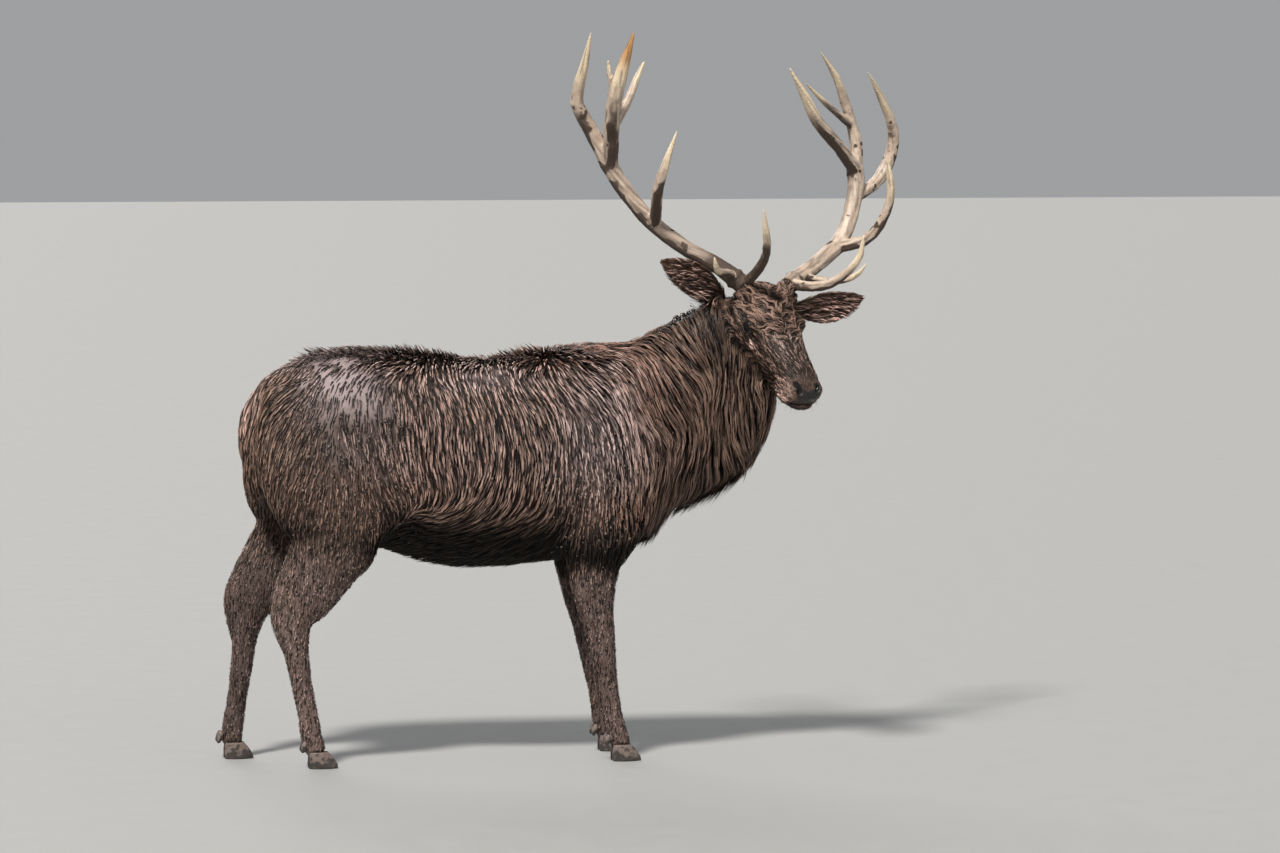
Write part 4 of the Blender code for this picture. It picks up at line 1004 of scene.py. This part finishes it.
ANTLERS = []
for name in ("right", "left"):
    nodes = [n for n in NODES if n.startswith(f"antler_{name}")]
    horn = Surface(*taken(remeshed("melted", nodes, ANTLER_VOXEL, 0.0005)))
    horn.smooth(22)
    owner = nearest_names(horn.v, nodes)
    n = unit(horn.blur(horn.normals(), 2))
    far, span = np.zeros((2, len(horn.v)))
    flow = np.zeros((len(horn.v), 3))
    for i, node in enumerate(nodes):
        mine = owner == i
        path = centreline(node)
        s, near, run, whole = along_path(horn.v[mine], path)
        out = unit(square_to(horn.v[mine] - near, run))
        flow[mine] = out * 0.016 + np.outer(s, np.array([0.09, 0.05, 0.07])) + i * 0.31
        far[mine] = s
        span[mine] = np.clip(s / whole, 0, 1) if "beam" not in node else 0.0
    base = ending(nodes, owner, "beam_lower")
    smooth_tip = 1 - step(span, 0.45, 0.85)
    ridges = noise(flow, 0.0052, 31) + 0.6 * noise(flow, 0.0026, 33)
    pearls = np.clip(noise(horn.v, 0.0060, 35), 0.1, 1.0) * base * (1 - step(far, 0.05, 0.20))
    burr = base * np.exp(-((far - 0.016) / 0.008) ** 2)
    dirt = noise(horn.v, 0.030, 37) + 0.6 * noise(horn.v, 0.012, 39)
    crust = step(dirt, 0.55, 0.95) * smooth_tip
    lift = 0.00055 * ridges * smooth_tip + 0.0011 * pearls
    lift += burr * (0.0045 + 0.0020 * noise(flow, 0.004, 41))
    lift += 0.0009 * crust * (0.6 + noise(horn.v, 0.004, 43))
    lift += 0.0012 * noise(horn.v, 0.035, 45) * smooth_tip
    horn.v = horn.v + n * lift[:, None]
    # Painted shade: the antlers' undersides are darker, less so high up; the crust is real dirt.
    below = step(-n[:, 2] + 0.35 * noise(horn.v, 0.03, 47), 0.10, 0.60)
    # The right antler's foot and brow tine are darker: painted shade.
    right_antler_shade = float(name == "right")
    dark = 0.85 * below * smooth_tip * (1 - 0.5 * step(horn.v[:, 2] - GROUND, 1.75, 2.0)) + 0.8 * crust
    dark += (0.35 + 0.50 * right_antler_shade) * base * (1 - step(far, 0.0, 0.16)) + 0.30 * base * right_antler_shade
    brow_tine_shade = 0.60 * right_antler_shade * ending(nodes, owner, "brow_tine") * (1 - step(span, 0.35, 0.75))
    dark = np.maximum(np.clip(dark, 0, 1), brow_tine_shade)
    ivory = step(span + 0.12 * noise(flow, 0.006, 49), 0.58, 0.80)
    amber = step(span, 0.72, 0.95) * ending(nodes, owner, "right_crown_front")
    amber = amber + 0.16 * step(ridges, 0.3, 1.0) * ivory
    obj = new_mesh(f"antler_{name}", horn.v, horn.f)
    horn_marks = np.stack([dark, ivory, np.clip(amber, 0, 1), step(ridges, -0.9, 0.9)], axis=1)
    put(obj, "horn", "FLOAT_COLOR", horn_marks)
    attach(obj, "root")
    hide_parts(*nodes)
    ANTLERS.append(obj)

# ---- claws ----
CLAWS = []
for node in [n for n in NODES if n.startswith(("hoof_", "dewclaw_"))]:
    low, high = corners(node)
    claw = Surface(*taken(remeshed("melted", [node], CLAW_VOXEL, 0.0)))
    claw.smooth(6)
    n = unit(claw.blur(claw.normals(), 2))
    level = (claw.v[:, 2] - low[2]) / (high[2] - low[2])
    upright = 1 - np.abs(n[:, 2]) ** 2
    slope = claw.v[:, 2] + 0.25 * (claw.v[:, 0] - low[0]) + 0.0015 * noise(claw.v, 0.02, 61)
    rings = np.sin(slope / 0.0052 * 2 * np.pi)
    lift = 0.00022 * rings * upright * step(level, 0.05, 0.25) + 0.00025 * noise(claw.v, 0.006, 63)
    chips = np.clip(noise(claw.v, 0.009, 65) - 0.35, 0, 1) * (1 - step(level, 0.05, 0.22)) * upright
    claw.v = claw.v + n * (lift - 0.0022 * chips)[:, None]
    claw.v[:, 2] = np.maximum(claw.v[:, 2], low[2])
    obj = new_mesh("claw_" + node, claw.v, claw.f)
    put(obj, "claw", "FLOAT_VECTOR", np.stack([level, step(rings, -0.8, 0.8), chips], axis=1))
    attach(obj, "root")
    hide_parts(node)
    CLAWS.append(obj)

# ---- eyes, lashes and whiskers ----
GLOBES = []
for name, (centre, lash, above, out, ahead) in zip(EYES, SOCKETS):
    v, f = ball(5)
    bulge = 1.0 + 0.055 * np.exp(-((1 - v[:, 2]) / 0.16) ** 2)
    local = v * bulge[:, None] * (EYE_SIZE - 0.0004)
    if np.dot(np.cross(ahead, above), out) < 0:
        f = f[:, ::-1]
    obj = new_mesh(f"globe_{name}", centre + local @ np.array([ahead, above, out]), f)
    put(obj, "gaze", "FLOAT_VECTOR", v)
    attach(obj, "root")
    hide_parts(f"eye_{name}")
    GLOBES.append(obj)


def bristles(name, roots, aims, curls, lengths, width, rings=6):
    """Single stiff hairs: closed three-sided spikes from each root."""
    count = len(roots)
    t = np.linspace(0, 1, rings)
    bend = aims[:, None] * t[None, :, None] + curls[:, None] * (t ** 2)[None, :, None]
    path = roots[:, None] + bend * lengths[:, None, None]
    run = unit(np.gradient(path, axis=1))
    across = unit(np.cross(run, np.array([0.31, 0.22, 0.92])))
    other = np.cross(run, across)
    half = 0.5 * width * (1 - t * 0.75)[None, :, None]
    third = 2.0944
    sides = [across * math.cos(k * third) + other * math.sin(k * third) for k in range(3)]
    verts = np.stack([path[:, :-1] + way[:, :-1] * half[:, :-1] for way in sides], axis=2)
    verts = np.concatenate([verts.reshape(count, -1, 3), path[:, -1:]], axis=1)
    per = verts.shape[1]
    tris = []
    for k in range(rings - 2):
        for j in range(3):
            a0, b0 = 3 * k + j, 3 * k + (j + 1) % 3
            tris += [(a0, b0, b0 + 3), (a0, b0 + 3, a0 + 3)]
    tris += [(3 * (rings - 2) + j, 3 * (rings - 2) + (j + 1) % 3, per - 1) for j in range(3)]
    faces = copies(np.array(tris), count, per)
    obj = new_mesh(name, verts.reshape(-1, 3), faces)
    tree = search_tree(P)
    home = ROOT_UV[[tree.find(p)[1] for p in roots]]
    patch = RNG.uniform(-PATCH / 2, PATCH / 2, (per, 2))
    put_uv(obj, faces, np.repeat(home, per, axis=0) + np.tile(patch, (count, 1)))
    return obj


roots, aims, curls, lengths = [], [], [], []
for centre, lash, above, out, ahead in SOCKETS:
    for ray in np.repeat(lash, 2, axis=0):
        lean = unit(ray + RNG.normal(0, 0.06, 3))
        roots.append(centre + lean * (EYE_SIZE + 0.0012))
        sidelong = lean - out * (lean @ out)
        aims.append(unit(0.8 * out + 0.8 * sidelong + 0.15 * above + RNG.normal(0, 0.08, 3)))
        curls.append(0.10 * above + 0.20 * out)
        lengths.append(RNG.uniform(0.005, 0.009))
lashes = bristles("lashes", *map(np.array, (roots, aims, curls, lengths)), 0.00065)
WHISKERS = 70
picks = (fwd > 0.165) & (dor < -0.040) & (np.abs(lat) > 0.014) & (bare < 0.3)
chosen = RNG.choice(np.nonzero(picks)[0], WHISKERS, replace=False)
aim = NORMAL[chosen] + 0.35 * FORTH - 0.25 * UPPER
aim = unit(aim + RNG.normal(0, 0.22, (WHISKERS, 3)))
droop = np.tile([0.0, 0.0, -0.25], (WHISKERS, 1))
whiskers = bristles("whiskers", P[chosen] - NORMAL[chosen] * 0.001, aim, droop,
                    RNG.uniform(0.010, 0.026, WHISKERS), 0.00060)

# ---- mud crumbs ----
crumb_zone = spots((1.0, -0.42, 0.90, 0.16, 0.14), (0.8, 0.33, 0.80, 0.10, 0.12),
                   (0.25, -0.45, 1.08, 0.16, 0.08))
crumb_zone = np.clip(crumb_zone + 0.35 * leg, 0, 1) * (1 - coronet) * (1 - head)
nose_bridge = head * step(dor, -0.01, 0.02) * step(fwd, 0.06, 0.12) * step(0.25 - fwd, 0.0, 0.03)
vertex, point = scatter(crumb_zone + nose_bridge * (1 - bare), 0.0135)
ball_v, ball_f = ball(1)
n = len(vertex)
size = RNG.gamma(2.2, 0.0007, n).clip(0.0005, 0.0042) * (1 - 0.55 * head[vertex])
out, ahead = NORMAL[vertex], LIE[vertex]
cross = np.cross(out, ahead)
jitter = 1 + RNG.normal(0, 0.16, (n, len(ball_v), 1))
offsets = (ahead[:, None] * ball_v[None, :, :1] * 1.35 + cross[:, None] * ball_v[None, :, 1:2]
           + out[:, None] * ball_v[None, :, 2:] * 0.62) * jitter * size[:, None, None]
verts = (point + out * (deep[vertex] * 0.8)[:, None])[:, None] + offsets
faces = copies(ball_f, n, len(ball_v))
crumbs = new_mesh("mud_crumbs", verts.reshape(-1, 3), faces)
put_uv(crumbs, faces, (ROOT_UV[vertex][:, None] + ball_v[:, :2] * PATCH / 2).reshape(-1, 2))


# ---- materials ----
class Shade:
    """A material's nodes, put together from short calls."""

    def __init__(self, name, **constants):
        self.made = bpy.data.materials.new(name)
        self.made.use_nodes = True
        self.tree = self.made.node_tree
        self.out = self.tree.nodes["Principled BSDF"]
        self.principled(**constants)

    def add(self, kind, output=0, inputs=(), **settings):
        node = self.tree.nodes.new("ShaderNode" + kind)
        for key, value in settings.items():
            setattr(node, key, value)
        for key, value in dict(inputs).items():
            self.set(node.inputs[key], value)
        return node.outputs[output]

    def set(self, socket, value):
        if isinstance(value, bpy.types.NodeSocket):
            self.tree.links.new(value, socket)
        elif isinstance(value, tuple) and len(value) == 3 and socket.type == "RGBA":
            socket.default_value = (*value, 1.0)
        else:
            socket.default_value = value

    def principled(self, **sockets):
        for key, value in sockets.items():
            self.set(self.out.inputs[key.replace("_", " ")], value)
        return self.made

    def attribute(self, name, output):
        return self.add("Attribute", output, attribute_name=name)

    def split(self, kind, value):
        """The three parts of a colour or a vector."""
        return self.add("Separate" + kind, 0, {0: value}).node.outputs[:3]

    def math(self, operation, *values, clamp=False):
        return self.add("Math", 0, dict(enumerate(values)), operation=operation, use_clamp=clamp)

    def times(self, x, y):
        return self.math("MULTIPLY", x, y)

    def mix(self, share, x, y, kind="MIX"):
        return self.add("Mix", 2, {0: share, 6: x, 7: y}, data_type="RGBA", blend_type=kind)

    def ramp(self, value, *stops):
        node = self.add("ValToRGB", 0, {0: value}).node
        while len(node.color_ramp.elements) < len(stops):
            node.color_ramp.elements.new(0.5)
        for element, (place, colour) in zip(node.color_ramp.elements, stops):
            element.position = place
            element.color = (colour, colour, colour, 1.0)
        return node.outputs[0]

    def tint(self, share, colour, value, *stops):
        """The colour darkened and lightened by a ramp of value."""
        return self.mix(share, colour, self.ramp(value, *stops), "MULTIPLY")

    def noise(self, vector, scale, detail=3.0, rough=0.55, stretch=(1.0, 1.0, 1.0)):
        moved = self.add("Mapping", 0, {"Vector": vector, "Scale": stretch})
        settings = {"Vector": moved, "Scale": scale, "Detail": detail, "Roughness": rough}
        return self.add("TexNoise", 0, settings)

    def pebbles(self, place, scale):
        return self.add("TexVoronoi", 0, {"Vector": place, "Scale": scale})

    def place(self):
        return self.add("TexCoord", 3)

    def bump(self, height, strength, distance, under=None):
        inputs = {"Height": height, "Strength": strength, "Distance": distance}
        if under is not None:
            inputs["Normal"] = under
        return self.add("Bump", 0, inputs)


FUR_DEEP, FUR_LIGHT = (0.091, 0.055, 0.040), (0.178, 0.116, 0.090)
RUST = (0.120, 0.055, 0.032)
# Lavender grey: caked mud with a painted wet sheen reflecting the sky.
MUD_AND_SHEEN = (0.275, 0.212, 0.205)
DARK = (0.010, 0.007, 0.005)
PALE = (0.50, 0.335, 0.285)


def marked(shade, place):
    """The coat's colour from its markings, with drying mud breaking it up; and the share of mud and painted
    sheen.
    """
    mud_and_sheen, rust, dark = shade.split("Color", shade.attribute("marks", 0))
    grit = shade.noise(place, 26.0, 4.0)
    colour = shade.mix(shade.math("MULTIPLY_ADD", grit, 1.3, -0.25), FUR_DEEP, FUR_LIGHT)
    colour = shade.mix(rust, colour, RUST)
    fleck = shade.math("MULTIPLY_ADD", shade.ramp(grit, (0.35, 0.0), (0.6, 1.0)), 0.5, 0.55)
    colour = shade.mix(shade.math("MULTIPLY", mud_and_sheen, fleck, clamp=True), colour, MUD_AND_SHEEN)
    # Dark marks: dark fur, with painted shade on the undersides and on the legs' inner sides.
    colour = shade.mix(dark, colour, DARK)
    return shade.mix(shade.attribute("marks", 3), colour, PALE), mud_and_sheen


def coat_material():
    shade = Shade("coat", Specular_IOR_Level=0.14, Coat_Weight=0.03, Coat_Roughness=0.20)
    colour, _ = marked(shade, shade.place())
    run, sidewise, tone_and_painted_light = shade.split("XYZ", shade.attribute("strand", 1))
    # Painted shade darkens each lock towards its root.
    colour = shade.tint(1.0, colour, run, (0.0, 0.05), (0.25, 0.40), (0.60, 1.0), (1.0, 1.20))
    # The tone's ramp paints highlight on the crests and shade in the gaps.
    colour = shade.tint(1.0, colour, tone_and_painted_light, (0.0, 0.02), (0.36, 0.23), (0.62, 1.14), (1.0, 3.1))
    lines = shade.add("CombineXYZ", 0, {0: shade.times(sidewise, 2.2), 1: shade.times(run, 1.2),
                                        2: shade.times(tone_and_painted_light, 61.0)})
    hairs = shade.noise(lines, 1.6, 2.0)
    colour = shade.tint(0.55, colour, hairs, (0.3, 0.45), (0.7, 1.25))
    rough = shade.math("MULTIPLY_ADD", hairs, 0.35, 0.28)
    return shade.principled(Base_Color=colour, Roughness=rough, Normal=shade.bump(hairs, 0.5, 0.0006))


def skin_material():
    shade = Shade("skin", Specular_IOR_Level=0.14, Coat_Weight=0.03, Coat_Roughness=0.25)
    place = shade.place()
    colour, mud_and_sheen = marked(shade, place)
    under, bare_share, plate = [shade.attribute(name, 2) for name in ("under", "bare", "plate")]
    fur = shade.noise(place, 300.0, 3.0, 0.6, (1.0, 1.0, 0.16))
    lumps = shade.noise(place, 120.0, 3.0, 0.6, (1.0, 1.0, 0.6))
    colour = shade.tint(0.7, colour, fur, (0.32, 0.42), (0.62, 1.2))
    # Painted shade under the coat: near black.
    colour = shade.mix(shade.times(under, 0.97), colour, (0.006, 0.004, 0.003))
    # Caked plates: mud whose lavender grey is partly a painted sheen.
    caked = shade.mix(mud_and_sheen, (0.088, 0.062, 0.049), (0.315, 0.250, 0.246))
    caked = shade.tint(0.6, caked, lumps, (0.35, 0.72), (0.65, 1.12))
    colour = shade.mix(plate, colour, caked)
    hide = shade.mix(shade.noise(place, 90.0), (0.010, 0.008, 0.008), (0.030, 0.024, 0.023))
    colour = shade.mix(bare_share, colour, hide)
    flat = shade.math("SUBTRACT", 1.0, shade.times(plate, 0.75))
    normal = shade.bump(lumps, 0.45, 0.0035)
    normal = shade.bump(shade.times(fur, flat), 0.7, 0.0016, normal)
    normal = shade.bump(shade.times(shade.pebbles(place, 620.0), bare_share), 0.35, 0.0010, normal)
    rough = shade.ramp(lumps, (0.3, 0.42), (0.7, 0.68))
    return shade.principled(Base_Color=colour, Roughness=rough, Normal=normal)


def hide_material():
    shade = Shade("wet_hide", Specular_IOR_Level=0.32, Coat_Weight=0.14, Coat_Roughness=0.10)
    place = shade.place()
    cloud = shade.noise(place, 80.0)
    inside = shade.attribute("inside", 2)
    colour = shade.mix(cloud, (0.006, 0.005, 0.005), (0.024, 0.019, 0.018))
    # Painted shade inside the nostrils: near black.
    colour = shade.mix(inside, colour, (0.002, 0.0015, 0.0015))
    rough = shade.mix(inside, shade.ramp(cloud, (0.3, 0.22), (0.7, 0.42)), (0.9, 0.9, 0.9))
    normal = shade.bump(shade.pebbles(place, 560.0), 0.5, 0.0010)
    return shade.principled(Base_Color=colour, Roughness=rough, Normal=normal)


def antler_material():
    shade = Shade("antler", Specular_IOR_Level=0.4, Coat_Weight=0.06, Coat_Roughness=0.35)
    dark, ivory, amber = shade.split("Color", shade.attribute("horn", 0))
    place = shade.place()
    cloud = shade.noise(place, 34.0, 5.0, 0.62)
    fine = shade.noise(place, 420.0, 3.0, 0.6)
    colour = shade.mix(shade.ramp(cloud, (0.3, 0.0), (0.7, 1.0)), (0.36, 0.265, 0.200), (0.56, 0.45, 0.355))
    colour = shade.mix(ivory, colour, (0.70, 0.57, 0.40))
    colour = shade.mix(amber, colour, (0.46, 0.24, 0.09))
    colour = shade.tint(1.0, colour, shade.attribute("horn", 3), (0.0, 0.50), (0.45, 0.95), (1.0, 1.12))
    # The stain: real darkening at the base and crust, with painted shade on the undersides and on the right
    # antler.
    stain_and_shade = shade.ramp(shade.times(dark, shade.math("ADD", cloud, 0.45)), (0.22, 0.0), (0.55, 1.0))
    colour = shade.mix(stain_and_shade, colour, shade.mix(fine, (0.030, 0.019, 0.013), (0.105, 0.072, 0.052)))
    colour = shade.tint(0.35, colour, fine, (0.3, 0.6), (0.7, 1.25))
    normal = shade.bump(fine, 0.35, 0.0006, shade.bump(cloud, 0.25, 0.003))
    rough = shade.ramp(stain_and_shade, (0.0, 0.50), (1.0, 0.78))
    return shade.principled(Base_Color=colour, Roughness=rough, Normal=normal)


def claw_material():
    shade = Shade("claw", Specular_IOR_Level=0.45, Coat_Weight=0.1, Coat_Roughness=0.3)
    level, ring, _ = shade.split("XYZ", shade.attribute("claw", 1))
    place = shade.place()
    cloud = shade.noise(place, 60.0, 4.0)
    streak = shade.noise(place, 260.0, 2.0, 0.5, (1.0, 1.0, 0.12))
    colour = shade.mix(cloud, (0.020, 0.016, 0.014), (0.060, 0.050, 0.044))
    colour = shade.tint(0.5, colour, ring, (0.0, 0.6), (1.0, 1.3))
    colour = shade.tint(0.4, colour, streak, (0.3, 0.6), (0.7, 1.4))
    caked = shade.ramp(shade.math("ADD", cloud, shade.times(level, 0.30)), (0.60, 0.0), (0.74, 1.0))
    colour = shade.mix(caked, colour, (0.150, 0.112, 0.095))
    normal = shade.bump(streak, 0.4, 0.0005, shade.bump(cloud, 0.5, 0.0018))
    rough = shade.ramp(caked, (0.0, 0.36), (1.0, 0.72))
    return shade.principled(Base_Color=colour, Roughness=rough, Normal=normal)


def eye_material():
    shade = Shade("eye", Specular_IOR_Level=0.06, Coat_Weight=0.32, Coat_Roughness=0.02, Roughness=0.12)
    gaze = shade.attribute("gaze", 1)
    x, y, _ = shade.split("XYZ", gaze)
    wide = shade.math("POWER", shade.math("DIVIDE", x, 0.40), 2.0)
    tall = shade.math("POWER", shade.math("DIVIDE", y, 0.20), 2.0)
    pupil = shade.ramp(shade.math("ADD", wide, tall), (0.80, 1.0), (1.0, 0.0))
    spread = shade.math("SQRT", shade.math("ADD", shade.times(x, x), shade.times(y, y)))
    ray = shade.add("VectorMath", 0, {0: gaze}, operation="NORMALIZE")
    rays = shade.noise(ray, 22.0, 3.0, 0.6, (1.0, 1.0, 0.1))
    iris = shade.mix(rays, (0.004, 0.002, 0.002), (0.014, 0.007, 0.004))
    white = shade.mix(rays, (0.004, 0.003, 0.003), (0.009, 0.007, 0.006))
    colour = shade.mix(shade.ramp(spread, (0.60, 0.0), (0.66, 1.0)), iris, white)
    return shade.principled(Base_Color=shade.mix(pupil, colour, (0.003, 0.004, 0.007)))


def bristle_material():
    shade = Shade("bristle", Specular_IOR_Level=0.5, Roughness=0.42)
    grain = shade.noise(shade.place(), 900.0)
    colour = shade.mix(grain, (0.010, 0.008, 0.007), (0.045, 0.034, 0.028))
    return shade.principled(Base_Color=colour, Normal=shade.bump(grain, 0.2, 0.0003))


def crumb_material():
    shade = Shade("mud_and_sheen", Specular_IOR_Level=0.30, Coat_Weight=0.06, Coat_Roughness=0.25)
    grain = shade.noise(shade.place(), 240.0, 4.0)
    colour = shade.mix(grain, (0.085, 0.060, 0.048), (0.210, 0.162, 0.145))
    rough = shade.ramp(grain, (0.3, 0.30), (0.7, 0.6))
    return shade.principled(Base_Color=colour, Roughness=rough, Normal=shade.bump(grain, 0.5, 0.0010))


def floor_material():
    shade = Shade("floor", Specular_IOR_Level=0.25)
    place = shade.place()
    speck = shade.noise(place, 9.0, 5.0)
    colour = shade.mix(speck, (0.300, 0.300, 0.294), (0.335, 0.335, 0.328))
    rough = shade.ramp(speck, (0.3, 0.62), (0.7, 0.78))
    normal = shade.bump(shade.noise(place, 420.0), 0.08, 0.002)
    return shade.principled(Base_Color=colour, Roughness=rough, Normal=normal)


def dress(objects, look):
    """Gives each object one more material."""
    for obj in objects:
        obj.data.materials.append(look)


dress(ANTLERS, antler_material())
dress(CLAWS, claw_material())
dress(GLOBES, eye_material())
dress([lashes, whiskers], bristle_material())
dress([crumbs], crumb_material())
dress(COAT, coat_material())
dress([skin], skin_material())
dress([skin], hide_material())
skin.data.polygons.foreach_set("material_index", BARE_FACE.astype(np.int32))
for obj in COAT + [lashes, whiskers, crumbs, skin]:
    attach(obj, "root")
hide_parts(*flesh)

# ---- stage, light and camera ----
bm = bmesh.new()
bmesh.ops.create_grid(bm, x_segments=24, y_segments=24, size=60.0)
floor = built("floor", bm)
floor.location = (0.0, 0.0, GROUND - 0.0004)
floor.data.materials.append(floor_material())


def sun(name, towards, power, angle, tint=(1.0, 1.0, 1.0)):
    """A broad distant lamp shining along towards."""
    light = bpy.data.lights.new(name, "SUN")
    light.energy, light.color, light.angle = power, tint, math.radians(angle)
    linked(name, light).rotation_euler = Vector(towards).to_track_quat("-Z", "Y").to_euler()


sun("key", (0.42, 0.66, -1.0), 4.6, 9.0, (1.0, 0.97, 0.93))
sun("fill", (-0.75, 1.0, -0.35), 0.35, 60.0)
sun("rim", (0.2, -1.0, -0.55), 0.8, 30.0)
world = bpy.data.worlds.new("studio")
world.use_nodes = True
sky = world.node_tree.nodes["Background"].inputs
sky["Color"].default_value = (0.95, 0.97, 1.0, 1.0)
sky["Strength"].default_value = 0.36
bpy.context.scene.world = world

# The photo's view: 1280 pixels wide at 335 pixels to the metre.
YAW, TILT, DISTANCE = math.radians(10), math.radians(4), 16.0
right = Vector((math.cos(YAW), -math.sin(YAW), 0.0))
sight = Vector((math.sin(YAW) * math.cos(TILT), math.cos(YAW) * math.cos(TILT), -math.sin(TILT)))
target = HOME + right * 0.4776 + UP * 0.9964
lens = bpy.data.cameras.new("camera")
lens.sensor_width = 36.0
lens.lens = 36.0 * DISTANCE / (1280 / 335)
lens.clip_end = 200.0
camera = linked("camera", lens)
camera.location = target - sight * DISTANCE
camera.rotation_euler = sight.to_track_quat("-Z", "Y").to_euler()
bpy.context.scene.camera = camera
bpy.context.scene.view_settings.view_transform = "Standard"
